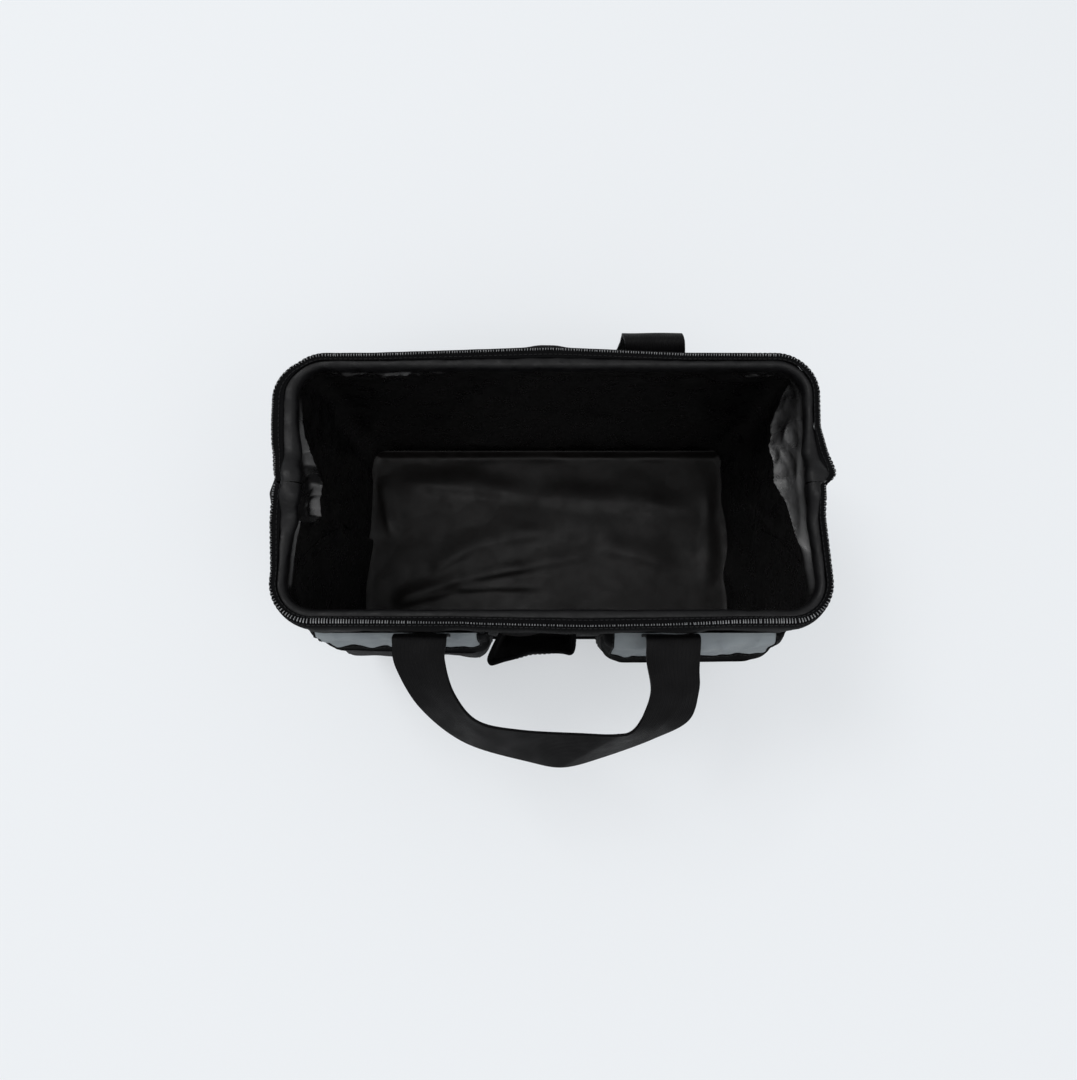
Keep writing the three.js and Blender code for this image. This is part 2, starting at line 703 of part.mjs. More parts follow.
for (const [name, [from, to]] of [['left', leftPocketEdges], ['right', rightPocketEdges]]) {
  const back = (z) => -wallY(z) - gap;
  const shell = alongX([
    [back(pocketBottom), pocketBottom],
    [-wallY(pocketBottom) - pocketDepthBottom, pocketBottom],
    [-wallY(pocketTop) - pocketDepthTop, pocketTop],
    [back(pocketTop), pocketTop],
  ], from, to);
  const clear = 40;
  const hollow = alongX([
    [back(pocketBottom) + clear, pocketBottom + pocketThickness],
    [-wallY(pocketBottom) - pocketDepthBottom + pocketThickness, pocketBottom + pocketThickness],
    [-wallY(pocketTop) - pocketDepthTop + pocketThickness, pocketTop],
    [-wallY(pocketTop) - pocketDepthTop + pocketThickness, pocketTop + clear],
    [back(pocketTop) + clear, pocketTop + clear],
  ], from + pocketThickness, to - pocketThickness);
  add(`${name}_pocket`, fromSolid(toSolid(shell).subtract(toSolid(hollow))), fabric);
  const edgeFrom = from - flapOverhang;
  const edgeTo = to + flapOverhang;
  const full = alongX(flapSection(bindingThickness, flapBottom), edgeFrom, edgeTo);
  const window = alongX([
    [0, flapBottom + bindingWidth], [-baseWidth, flapBottom + bindingWidth],
    [-baseWidth, pivotHeight], [0, pivotHeight],
  ], edgeFrom + bindingWidth, edgeTo - bindingWidth);
  add(`${name}_flap_binding`, fromSolid(toSolid(full).subtract(toSolid(window))), web);
  add(`${name}_flap`, alongX(flapSection(flapThickness, flapBottom + bindingWidth + gap),
    edgeFrom + bindingWidth + gap, edgeTo - bindingWidth - gap), flapGrey);
}

// Centre pocket: a patch of fabric that stands off the wall, with a bound and flared mouth
function centrePocketPoint(u, z) {
  const height = (z - centrePocketBottom) / (centrePocketTop - centrePocketBottom);
  const across = 2 * u - 1;
  const halfWidth = centrePocketHalfWidth + centrePocketFlare * height;
  const crown = 1 - Math.abs(across) ** 6;
  const flare = 1 + 0.35 * across * across * height * height;
  const depth = centrePocketDepth * Math.sqrt(Math.max(height, 0)) * crown * flare;
  const x = centrePocketX + halfWidth * across;
  return new THREE.Vector3(x, -wallY(z) - gap - pocketThickness - depth, z);
}

function centrePocketSheet(from, to, rows, outerDepth, innerDepth) {
  return sheet(14, spaced(from, to, rows), centrePocketPoint, outerDepth, innerDepth);
}

const centreBindingBottom = centrePocketTop - centreBindingHeight;
add('centre_pocket', centrePocketSheet(
  centrePocketBottom, centreBindingBottom - gap, 5, 0, pocketThickness), fabric);
add('centre_pocket_binding', centrePocketSheet(
  centreBindingBottom, centrePocketTop, 1, -centreBindingProud, pocketThickness), web);

export default bag;
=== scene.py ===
# Zippered tool bag with a wide mouth, standing open with its front handle flopped forward.
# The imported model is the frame: +Z is up and the front faces -Y. Shapes are worked out in
# millimetres, and write_mesh() puts them in metres.
import math

import bmesh
import bpy
import numpy as np
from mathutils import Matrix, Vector


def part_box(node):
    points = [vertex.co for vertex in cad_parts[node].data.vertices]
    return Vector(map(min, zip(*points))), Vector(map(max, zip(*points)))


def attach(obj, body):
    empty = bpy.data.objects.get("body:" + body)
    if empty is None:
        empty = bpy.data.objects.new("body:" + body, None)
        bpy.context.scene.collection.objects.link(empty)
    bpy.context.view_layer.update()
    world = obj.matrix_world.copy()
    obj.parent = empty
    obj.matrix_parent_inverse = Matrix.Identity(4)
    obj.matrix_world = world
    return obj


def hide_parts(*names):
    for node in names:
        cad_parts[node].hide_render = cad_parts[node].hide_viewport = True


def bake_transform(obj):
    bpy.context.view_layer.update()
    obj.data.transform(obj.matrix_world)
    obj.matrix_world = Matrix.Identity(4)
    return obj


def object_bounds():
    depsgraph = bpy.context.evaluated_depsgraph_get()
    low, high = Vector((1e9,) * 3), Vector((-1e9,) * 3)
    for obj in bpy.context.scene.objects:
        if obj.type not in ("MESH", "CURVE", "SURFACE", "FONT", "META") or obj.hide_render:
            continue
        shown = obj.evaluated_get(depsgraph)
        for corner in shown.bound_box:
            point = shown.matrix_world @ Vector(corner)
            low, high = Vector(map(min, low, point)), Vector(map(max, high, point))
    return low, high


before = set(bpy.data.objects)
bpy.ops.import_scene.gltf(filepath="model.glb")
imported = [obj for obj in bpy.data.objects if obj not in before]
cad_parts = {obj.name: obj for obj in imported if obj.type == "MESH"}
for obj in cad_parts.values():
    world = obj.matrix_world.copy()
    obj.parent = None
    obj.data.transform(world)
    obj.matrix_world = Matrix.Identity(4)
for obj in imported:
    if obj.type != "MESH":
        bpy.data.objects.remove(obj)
cad_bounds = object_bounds()
MM = 0.001

# Outer shell: walls of black woven polyester, in a front and a rear half, cut along a V at the top of each
# end where a fold of the same canvas lies. They hang from the mouth's hem and are sewn to the base.
def box_mm(node):
    """The lowest and highest corners of a CAD node, in millimetres"""
    low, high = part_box(node)
    return np.array(low) / MM, np.array(high) / MM


base_high = box_mm("base_panel")[1]
half_length = base_high[0]
half_width = base_high[1]
panel_low, panel_high = box_mm("rear_panel")
wall_bottom = panel_low[2]
wall_top = panel_high[2]
wall_flare = panel_high[1] - half_width
floor_top = box_mm("floor_lining")[1][2]
rivet_low, rivet_high = box_mm("right_rivet")
pivot_x = (rivet_low[0] + rivet_high[0]) / 2
wire_radius = 2.5
bar_y = box_mm("rear_frame")[1][1] - wire_radius
sleeve_low, sleeve_high = box_mm("rear_hem_sleeve")
sleeve_radius = sleeve_high[1] - bar_y
sleeve_z = (sleeve_low[2] + sleeve_high[2]) / 2
tape_low, tape_high = box_mm("rear_zip_tape")
tape_reach = tape_high[1] - bar_y
tape_bottom = tape_low[2]
leg_corner_inset = 3
leg_corner_x = half_length - leg_corner_inset
corner_radius = 25
split_z = box_mm("left_end_panel")[1][2]
shell_thickness = 1.6
shell_top = tape_bottom + 1
ridge_rise = 0.86
fold_half_width = 62
fold_overlap = 8
wall_pivot_y = 0.75 * half_width
halves = (("front", 0, -1), ("rear", 1, 1))
ends = (("left", 0), ("right", 1))


def plug(tree, socket, value):
    """Links a field to a socket, or sets the socket's value"""
    if isinstance(value, Field):
        tree.links.new(value.socket, socket)
    else:
        socket.default_value = value


class Field:
    """A socket's value, on which sums and products add the material's own nodes"""

    def __init__(self, finish, socket):
        self.finish = finish
        self.socket = socket

    def maths(self, operation, *others):
        values = dict(enumerate((self, *others)))
        return self.finish.node("ShaderNodeMath", {"operation": operation}, values)

    def __add__(self, other):
        return self.maths("ADD", other)

    def __mul__(self, other):
        return self.maths("MULTIPLY", other)

    __radd__ = __add__
    __rmul__ = __mul__

    def wave(self, pitch):
        """A sine that changes sign every pitch"""
        return (self * (math.pi / pitch)).maths("SINE")

    def band(self, low, high):
        """From 0 at low to 1 at high, smoothly"""
        return self.finish.node("ShaderNodeMapRange", {"interpolation_type": "SMOOTHSTEP"},
                                {"Value": self, "From Min": low, "From Max": high})


class Finish:
    """A procedural material: one shader, and the fields that vary over its surface"""

    def __init__(self, name, roughness, metallic=0.0, specular=0.5):
        self.material = bpy.data.materials.new(name)
        self.material.use_nodes = True
        self.tree = self.material.node_tree
        self.shader = self.tree.nodes["Principled BSDF"]
        self.feed("Roughness", roughness)
        self.feed("Metallic", metallic)
        self.feed("Specular IOR Level", specular)

    def feed(self, name, value):
        """Gives one of the shader's sockets a value or a field"""
        plug(self.tree, self.shader.inputs[name], value)

    def node(self, kind, settings, inputs, output=0):
        """Adds a node: its settings first, with a ramp's stops, then the values or links of its sockets"""
        node = self.tree.nodes.new(kind)
        for name, value in settings.items():
            if name == "stops":
                for element, (position, colour) in zip(node.color_ramp.elements, value):
                    element.position = position
                    element.color = (*colour, 1)
            else:
                setattr(node, name, value)
        for name, value in inputs.items():
            plug(self.tree, node.inputs[name], value)
        return Field(self, node.outputs[output])

    def cloth_axes(self):
        """The distances along and across the cloth, in millimetres"""
        place = self.node("ShaderNodeTexCoord", {}, {}, "UV")
        return [self.node("ShaderNodeSeparateXYZ", {}, {0: place}, axis) for axis in (0, 1)]

    def noise(self, size, detail=3.0, stretch=(1, 1, 1)):
        """Soft random patches of about the given size in millimetres"""
        place = self.node("ShaderNodeTexCoord", {}, {}, "Object")
        scaled = self.node("ShaderNodeMapping", {}, {
            "Vector": place, "Scale": [part / (size * MM) for part in stretch]})
        return self.node("ShaderNodeTexNoise", {}, {"Vector": scaled, "Scale": 1, "Detail": detail})

    def weave(self, pitch):
        """Height of a plain weave: warp and weft threads pass over each other in turn"""
        along, across = self.cloth_axes()
        warp = along.wave(pitch)
        weft = across.wave(pitch)
        over = warp * weft
        return warp * warp * (0.5 + 0.5 * over) + weft * weft * (0.5 + -0.5 * over)

    def colours(self, field, low, high):
        """Base colour between two stops of a field, each with its place and its colour"""
        self.feed("Base Color", self.node("ShaderNodeValToRGB", {"stops": (low, high)}, {0: field}))

    def sheen(self, weight, roughness):
        """Light caught by the fibres that stand off the cloth"""
        self.feed("Sheen Weight", weight)
        self.feed("Sheen Roughness", roughness)

    def bump(self, height, distance):
        """Relief of the surface, its height in millimetres"""
        self.feed("Normal", self.node("ShaderNodeBump", {}, {"Height": height, "Distance": distance * MM}))


canvas = Finish("outer_canvas", roughness=0.8, specular=0.12)
canvas.sheen(0.03, 0.5)
canvas_weave = canvas.weave(0.8)
canvas.colours(0.6 * canvas.noise(38, 5) + 0.25 * canvas_weave + 0.2 * canvas.noise(3, 2),
               (0.2, (0.0024, 0.0024, 0.0029)), (0.85, (0.0072, 0.0074, 0.0086)))
canvas.feed("Roughness", 0.68 + 0.2 * canvas.noise(22, 3).band(0.2, 0.8))
canvas.bump(0.5 * canvas_weave + 1.2 * canvas.noise(9, 4), 0.35)


def write_mesh(name, points, faces, cloth, finish):
    """A smooth mesh object from points in millimetres, with distances on its cloth as UV"""
    mesh = bpy.data.meshes.new(name)
    mesh.from_pydata((points * MM).tolist(), [], faces)
    corners = np.empty(len(mesh.loops), dtype=np.int32)
    mesh.loops.foreach_get("vertex_index", corners)
    mesh.uv_layers.new(name="cloth").data.foreach_set("uv", cloth[corners].astype(np.float32).ravel())
    mesh.materials.append(finish.material)
    mesh.shade_smooth()
    mesh.set_sharp_from_angle(angle=math.radians(40))
    piece = bpy.data.objects.new(name, mesh)
    bpy.context.scene.collection.objects.link(piece)
    return piece


def lengths(grid, axis):
    """Distances along one direction of a grid of points, averaged over the other"""
    steps = np.linalg.norm(np.diff(grid, axis=axis), axis=2).mean(axis=1 - axis)
    return np.concatenate([[0], np.cumsum(steps)])


def unit(vectors):
    """The vectors made one long"""
    return vectors / np.maximum(np.linalg.norm(vectors, axis=-1, keepdims=True), 1e-9)


def facing(grid):
    """Unit normals of a grid of points"""
    return unit(np.cross(np.gradient(grid, axis=1), np.gradient(grid, axis=0)))


def lay(name, grid, thickness, finish):
    """A cloth whose outer face is the grid of points, and its inner one a thickness below"""
    rows, columns = grid.shape[:2]
    points = np.concatenate([grid.reshape(-1, 3), (grid - facing(grid) * thickness).reshape(-1, 3)])
    outer = np.arange(rows * columns).reshape(rows, columns)
    inner = outer + rows * columns
    rim = np.concatenate([outer[0, :-1], outer[:-1, -1], outer[-1, :0:-1], outer[:0:-1, 0]])
    after = np.roll(rim, -1)
    quads = [
        np.stack([outer[:-1, :-1], outer[:-1, 1:], outer[1:, 1:], outer[1:, :-1]], axis=2),
        np.stack([inner[:-1, :-1], inner[1:, :-1], inner[1:, 1:], inner[:-1, 1:]], axis=2),
        np.stack([rim, rim + rows * columns, after + rows * columns, after], axis=1),
    ]
    faces = np.concatenate([quad.reshape(-1, 4) for quad in quads]).tolist()
    across, up = np.meshgrid(lengths(grid, 1), lengths(grid, 0))
    cloth = np.stack([across, up], axis=2).reshape(-1, 2)
    return write_mesh(name, points, faces, np.concatenate([cloth, cloth]), finish)


def declare(piece, grid, held, *rests_on):
    """Works out the diagonals across each cell of a laid cloth's grid, and keeps nothing"""
    rising = grid[1:, 1:] - grid[:-1, :-1]
    falling = grid[1:, :-1] - grid[:-1, 1:]


def smoothstep(value, low, high):
    """From 0 at low to 1 at high, smoothly"""
    t = np.clip((value - low) / (high - low), 0, 1)
    return t * t * (3 - 2 * t)


def ripple(p, q, size, seed, waves=28):
    """Soft random relief over two distances, from about -1 to 1, with hollows of the given size"""
    chance = np.random.default_rng(seed)
    total = 0
    for _ in range(waves):
        turn = chance.uniform(0, math.pi)
        rate = 2 * math.pi / (size * chance.uniform(0.7, 1.8))
        along = p * math.cos(turn) + q * math.sin(turn)
        total = total + np.sin(along * rate + chance.uniform(0, 2 * math.pi))
    return total / math.sqrt(waves)


def crease_line(p, q, start, end, width, height):
    """Relief of one sharp crease between two places, fading towards its ends"""
    start, end = np.array(start, dtype=float), np.array(end, dtype=float)
    run = end - start
    share = ((p - start[0]) * run[0] + (q - start[1]) * run[1]) / (run @ run)
    held = np.clip(share, 0, 1)
    away = np.hypot(p - start[0] - run[0] * held, q - start[1] - run[1] * held) / width
    fade = smoothstep(held, 0, 0.15) * (1 - smoothstep(held, 0.8, 1)) * 0.75 + 0.25
    return height * np.exp(-np.sqrt(away * away + 0.03) * 1.4) * fade


# The wall's face, by the distance round the mouth from the middle of the left end, front first
end_run = half_width + wall_flare / 2 - corner_radius
corner_run = corner_radius * math.pi / 2
side_run = half_length - corner_radius
half_loop = 2 * (end_run + corner_run + side_run)
ridge_extra = 3
left_ridge = -box_mm("left_end_gusset")[0][0] - half_length + ridge_extra
right_swell = box_mm("right_end_gusset")[1][0] - half_length


def loop_shares(s):
    """How far along the end, the corner and the long side a place is, and the signs of its x and y"""
    turn = np.mod(s, 2 * half_loop)
    rear = turn > half_loop
    turn = np.where(rear, 2 * half_loop - turn, turn)
    left = turn < half_loop / 2
    near = np.where(left, turn, half_loop - turn)
    end = np.clip(near / end_run, 0, 1)
    corner = np.clip((near - end_run) / corner_run, 0, 1) * math.pi / 2
    side = np.clip((near - end_run - corner_run) / side_run, 0, 1)
    return end, corner, side, np.where(left, -1.0, 1.0), np.where(rear, 1.0, -1.0)


def wall_y(z):
    """The long walls lean out from the base to the mouth"""
    return half_width + wall_flare * (z - wall_bottom) / (wall_top - wall_bottom)


# How far the zip's fold lies outside its plain line, by the distance round the mouth: the cloth is drawn in
# as far as the wire lets it at the corners, and stands out behind both rivets
least_slack = -2.4
mouth_slack = np.array([
    (-3, -0.6), (12, 1), (27, 2.7), (50, 0), (75, -3), (97, -7.5), (180, -5), (240, -1.7), (317, 0),
    (400, -1.5), (455, -3.4), (574, -5.9), (582, -3.5), (588, 6.6), (604, 4.5), (626, -0.6), (646, -5.3),
    (663, -9), (702, -8.2), (722, -4.7), (790, -1.5), (877, 2.4), (960, -0.5), (1036, -3.1), (1062, -4.8),
    (1075, -0.4), (1091, 4.6), (1117, 5.2), (1136, 4.6), (1155, 1.5), (1166, -0.6)])


def slack(s):
    """The zip's slack at places round the mouth, evened out over 10 mm"""
    near = [np.interp(np.mod(s + shift + 3, 2 * half_loop) - 3, mouth_slack[:, 0], mouth_slack[:, 1])
            for shift in (-5, -2.5, 0, 2.5, 5)]
    return np.maximum(sum(near) / len(near), least_slack)


def rim_loop(s, out, z):
    """Points round the mouth at a distance out from the frame's wire. Beyond the wire the zip's slack is
    added, and the tape is steeper at the ends"""
    end, corner, side, x_sign, y_sign = loop_shares(s)
    steep = 1 - 0.75 * np.cos(corner) ** 2
    out = np.where(out > 8.5, 8.5 + (out - 8.5) * steep, out) + slack(s) * smoothstep(out, 0, 5)
    turn_x = leg_corner_x - corner_radius
    turn_y = bar_y - corner_radius
    x = pivot_x + (leg_corner_x - pivot_x) * end + out
    x = x - (corner_radius + out) * (1 - np.cos(corner)) - turn_x * side
    y = turn_y * end + (corner_radius + out) * np.sin(corner)
    return np.stack(np.broadcast_arrays(x * x_sign, y * y_sign, z), axis=-1)


def wall_loop(s, z, inset=0.0, bulge=1.0):
    """Points on the bag's wall, set in from its outer face, with a share of the ends' bulges"""
    s, z = np.broadcast_arrays(np.asarray(s, dtype=float), np.asarray(z, dtype=float))
    end, corner, side, x_sign, y_sign = loop_shares(s)
    radius = corner_radius - inset
    straight = wall_y(z) - corner_radius
    x = half_length - inset - radius * (1 - np.cos(corner)) - side_run * side
    y = straight * end + radius * np.sin(corner)
    height = np.clip((z - split_z) / (wall_top - split_z), 0, 1)
    rise = np.where(height < ridge_rise, np.sin(height / ridge_rise * math.pi / 2) ** 2,
                    np.cos((height - ridge_rise) / (1 - ridge_rise) * math.pi / 3))
    slope = np.clip(y / straight, 0, 1)
    ridge = left_ridge * rise * (1 - slope) ** 0.95
    swell = right_swell * rise * np.sin(slope * math.pi) ** 2 * (y_sign > 0)
    x = x + np.where(x_sign < 0, ridge, swell) * bulge
    return np.stack([x * x_sign, y * y_sign, z], axis=-1)


# Long creases in the canvas: a place round the mouth, and the heights that each runs between
shell_creases = (
    (30, 30, 160), (96, 60, 200), (484, 40, 190), (560, 20, 150), (640, 60, 200), (1070, 30, 170))


def shell_surface(s, z):
    """The canvas: the wall's face with its slack, drawn out to the rim's band at the top"""
    wall = wall_loop(s, z)
    rim = rim_loop(s, tape_reach - 1.4, z)
    draw = smoothstep(z, shell_top - 15, shell_top)[..., None]
    points = wall * (1 - draw) + rim * draw
    outward = unit(points * [1, 1, 0] - wall_loop(s, z, 40) * [1, 1, 0])
    free = smoothstep(z, wall_bottom, wall_bottom + 30) * (1 - smoothstep(z, shell_top - 16, shell_top - 2))
    relief = ripple(s, z, 70, 3) * 1.5 + ripple(s, z * 0.6, 30, 4) * 0.7 + ripple(s, z, 13, 5) * 0.15
    for number, (place, low, high) in enumerate(shell_creases):
        lean = 14 * math.sin(number * 2.3)
        relief = relief + crease_line(s, z, (place, low), (place + lean, high), 7, 1.6)
    return points + outward * (np.maximum(relief, -0.5) * free - 0.8)[..., None]


def half_shell_places(rear, heights, columns):
    """A grid of places over half the wall, its ends following the V of the end folds"""
    z, u = np.meshgrid(heights, np.linspace(0, 1, columns), indexing="ij")
    cut = fold_half_width * np.clip((z - split_z) / (shell_top - split_z), 0, 1)
    return cut + (half_loop - 2 * cut) * u + half_loop * rear, z


def end_fold_places(right, heights, columns):
    """A grid of places over the V of one end, a little wider than the cut"""
    z, u = np.meshgrid(heights, np.linspace(-1, 1, columns), indexing="ij")
    above = z - split_z + fold_overlap
    cut = fold_half_width * np.clip(above / (shell_top - split_z + fold_overlap), 0, 1) + 5
    return half_loop * right + cut * u, z


for half, rear, sign in halves:
    s, z = half_shell_places(rear, np.linspace(wall_bottom, shell_top, 90), 260)
    outside = shell_surface(s, z)
    shell = lay(f"{half}_shell", outside, shell_thickness, canvas)
    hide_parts(f"{half}_panel", *([] if rear else ["left_end_panel", "right_end_panel"]))
    sign * wall_pivot_y * MM
    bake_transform(shell)
    declare(shell, outside, "stretched", f"{half}_sleeve_cloth", "base_cloth")
for end, right in ends:
    s, z = end_fold_places(right, np.linspace(split_z - fold_overlap, shell_top, 60), 60)
    outside = shell_surface(s, z)
    behind = outside - facing(outside) * (shell_thickness + 0.2)
    fold = lay(f"{end}_shell_fold", behind, shell_thickness, canvas)
    declare(fold, behind, "stretched", "front_shell", "rear_shell")
    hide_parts(f"{end}_end_gusset")
    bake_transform(fold)

# Lining: black nylon with a shiny coating, finely crinkled, hung from the hem inside the shell. At each end
# it sags under the hem into a creased lip, from corner to corner, with crumples above the lip. Lips are
# rows of (y, z, depth).
def coated_nylon(name, roughness, specular, crinkle, tone):
    """Nylon with a coating: its brightest tone, and how deeply it is crinkled"""
    nylon = Finish(name, roughness=roughness, specular=specular)
    nylon.colours(nylon.noise(60, 5), (0.3, tuple(0.55 * part for part in tone)), (0.75, tone))
    nylon.feed("Roughness", roughness - 0.1 + 0.22 * nylon.noise(14, 4).band(0.3, 0.75))
    creases = 1.8 * nylon.noise(30, 3) + 0.6 * nylon.noise(9, 2) + 0.22 * nylon.noise(1.6, 2)
    nylon.bump(creases * crinkle + 0.08 * nylon.weave(0.6), 0.8)
    return nylon


coated = coated_nylon("coated_lining", 0.33, 0.8, 0.6, (0.0036, 0.0033, 0.0036))
lining_thickness = 0.4
lining_inset = 4.4
end_lining_inset = 6.6
lining_top = wall_top + 0.2
end_lips = (
    np.array([(-92, 222, 0), (-84, 215, 0.8), (-75, 212, 1.6), (-60, 212, 2.3), (-43, 212, 3.2),
              (-24, 211, 5), (-19, 190, 10), (-12, 176, 11), (11, 186, 12), (21, 202, 12), (32, 210, 9),
              (45, 212, 5), (60, 212, 2.4), (76, 213, 1.2), (86, 218, 0)]),
    np.array([(-94, 224, 0), (-78, 220, 4), (-53, 215, 6.5), (-33, 208, 8.5), (-5, 202, 12), (10, 200, 18),
              (34, 194, 19), (59, 191, 14), (83, 199, 7), (100, 215, 0)]))
end_ledges = ((0.8, 2.6), (0.3, 5))
end_crumples = (((-2, 186), (17, 20), 0.4), ((34, 198), (40, 12), 0.2))
rear_shelves = ((-150, 206, 34, 6), (-96, 208, 30, 3.5), (170, 203, 24, 6), (50, 208, 50, 2))


def crumple(p, q, place, reach, size, height, seed):
    """A patch of sharp-edged crumples, longer upward than across, that fades out to its sides"""
    window = np.exp(-((p - place[0]) / reach[0]) ** 2 - ((q - place[1]) / reach[1]) ** 2)
    streaks = np.abs(ripple(p * 0.4, q, size, seed))
    facets = np.abs(ripple(p * 0.7 + q * 0.5, q, size * 0.8, seed + 1))
    return window * (1 - streaks * 0.8 - facets * 0.5) * height


def lining_relief(s, z):
    """How far the lining stands in from its plain place, in soft waves and with a loose foot at the ends"""
    relief = ripple(s, z, 85, 11) * 1.6 + ripple(s, z * 0.5, 36, 12) * 0.8 + ripple(s, z, 15, 13) * 0.18
    for middle in (0, half_loop, 2 * half_loop):
        relief = relief + crease_line(s, z, (middle, 140), (middle - 34, 40), 12, 4)
        relief = relief + crease_line(s, z, (middle, 140), (middle + 28, 60), 12, 4)
    middle_of_end = np.abs(np.mod(s + half_loop / 2, half_loop) - half_loop / 2)
    near_end = 1 - smoothstep(middle_of_end, 80, end_run + corner_run + 20)
    return relief + 15 * np.exp(-(z - floor_top) / 26) * near_end


def end_sag(s, z):
    """How far the lip at each end stands in, with the crumples above it and those under the rear hem"""
    sag = 0
    for right, lip in enumerate(end_lips):
        middle = half_loop * right
        away = np.mod(s - middle + half_loop, 2 * half_loop) - half_loop
        y = away if right else -away
        inside = smoothstep(np.abs(y), 104, 92)
        lip_z, depth = (np.interp(y, lip[:, 0], lip[:, column]) for column in (1, 2))
        above = z - lip_z
        share = np.clip(above / np.maximum(lining_top + 3 - lip_z, 1), 0, 1)
        ledge, ledge_height = end_ledges[right]
        steep = np.exp(-np.maximum(above, 0) / ledge_height)
        over = depth * ((1 - ledge) * (1 - share) ** 1.3 + ledge * steep * (1 - share))
        under = depth * (0.55 * np.exp(np.minimum(above, 0) / 9) + 0.45 * np.exp(np.minimum(above, 0) / 45))
        sag = sag + np.where(above > 0, over, under) * inside
        place, reach, fine = end_crumples[right]
        folds = crumple(y, z, place, reach, 19, 2.1, 15) + crumple(y, z, place, reach, 7, fine, 17)
        sag = sag + folds * inside
    rear_middle = half_loop * 1.5
    for x, shelf_z, reach, height in rear_shelves:
        near = np.exp(-((s - rear_middle + x) / reach) ** 4)
        shelf = np.where(z > shelf_z, np.clip((lining_top - z) / (lining_top - shelf_z), 0, 1) ** 1.2,
                         np.exp(np.minimum(z - shelf_z, 0) / 14))
        folds = crumple(s, z, (rear_middle - x, shelf_z + 4), (reach, 9), 13, 2.2, 19)
        sag = sag + near * shelf * height + folds
    return sag * (1 - smoothstep(z, lining_top - 7, lining_top))


def lining_surface(s, z):
    """The lining's face, drawn up to the wire at the top"""
    corner = loop_shares(s)[1]
    inset = lining_inset + (end_lining_inset - lining_inset) * np.cos(corner) ** 2
    wall = wall_loop(s, z, inset, 0.1)
    rim = rim_loop(s, -1.5, z)
    draw = smoothstep(z, lining_top - 16, lining_top)[..., None] ** 1.5
    points = wall * (1 - draw) + rim * draw
    inward = unit(wall_loop(s, z, 40) * [1, 1, 0] - wall * [1, 1, 0])
    free = smoothstep(z, floor_top - 4, floor_top + 20)
    free = free * (1 - smoothstep(z, lining_top - 22, lining_top - 2))
    free = np.maximum(free, (z < floor_top + 30) * 0.75)
    stand = np.maximum(lining_relief(s, z), -0.3) * free + np.maximum(end_sag(s, z), 0)
    return points + inward * stand[..., None]


crumpled_bottom = 160


def lining_rows(bottom, count):
    """Heights up the lining, closer where it is crumpled"""
    return np.concatenate([np.linspace(bottom, crumpled_bottom, count)[:-1],
                           np.linspace(crumpled_bottom, lining_top, 84)])


for half, rear, sign in halves:
    s, z = half_shell_places(rear, lining_rows(floor_top + 0.5, 34), 400)
    inside = lining_surface(s, z)[:, ::-1]
    lining = lay(f"{half}_lining_cloth", inside, lining_thickness, coated)
    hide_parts(f"{half}_lining")
    sign * wall_pivot_y * MM
    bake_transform(lining)
    declare(lining, inside, "hung", f"{half}_sleeve_cloth", "floor_cloth")
for end, right in ends:
    s, z = end_fold_places(right, lining_rows(split_z - fold_overlap, 30), 130)
    inside = lining_surface(s, z)[:, ::-1]
    behind = inside - facing(inside) * (lining_thickness + 0.05)
    fold = lay(f"{end}_lining_fold", behind, lining_thickness, coated)
    declare(fold, behind, "hung", "front_lining_cloth", "rear_lining_cloth")
    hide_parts(f"{end}_end_lining")
    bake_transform(fold)

# Floor: the same coated nylon, duller and smoother, laid over the stiff board. It is creased from its front
# left corner and along its rear, and its edges turn up a little at the walls.
def soft_fold(p, q, start, end, width, height):
    """A rounded fold between two places, steeper on its near side"""
    run = np.subtract(end, start)
    run_length = math.hypot(*run)
    share = ((p - start[0]) * run[0] + (q - start[1]) * run[1]) / (run @ run)
    across = ((q - start[1]) * run[0] - (p - start[0]) * run[1]) / run_length / width
    across = np.where(across < 0, across * 1.8, across)
    beyond = np.maximum(np.abs(share - 0.5) - 0.5, 0) * run_length / width
    fade = smoothstep(share, -0.05, 0.25) * (1 - smoothstep(share, 0.7, 1.1))
    return height * np.exp(-across ** 2 - beyond ** 2) * fade


def eased_grid(rows, columns):
    """Places from -1 to 1 both ways, closer together at the first and last rows"""
    eased = np.sin(np.linspace(-1, 1, rows) * math.pi / 2)
    return np.meshgrid(eased, np.linspace(-1, 1, columns), indexing="ij")


floor_nylon = coated_nylon("coated_floor", 0.42, 0.24, 0.25, (0.0068, 0.0057, 0.0055))
floor_inset = 6.5
floor_edge = wall_loop(np.linspace(0, half_loop, 200), floor_top, floor_inset)
left_edge = floor_edge[:100][::-1]
v, u = eased_grid(150, 260)
y = v * -floor_edge[:, 1].min()
x = u * np.interp(-np.abs(y), left_edge[:, 1], -left_edge[:, 0])
floor_folds = (
    ((-150, 62), (-16, 48), 15, 4.0), ((-30, 49), (150, 34), 17, 3.4),
    ((-158, -62), (-72, -36), 11, 3.6), ((-84, -41), (-10, -27), 9, 3.6), ((-24, -28), (52, -14), 12, 2.4),
    ((-158, -68), (-96, -53), 9, 2.6), ((-104, -51), (0, -48), 9, 2.6),
    ((-124, -36), (-70, -4), 11, 2.6), ((-84, -8), (0, 8), 12, 2.2), ((48, -6), (132, -28), 13, 2.6),
    ((-178, 70), (-160, 0), 9, 3.0), ((168, 60), (162, -50), 10, 2.2), ((-60, 10), (70, 14), 22, 1.8))
floor_relief = ripple(x, y, 70, 21) * 0.9 + ripple(x, y, 26, 22) * 0.15
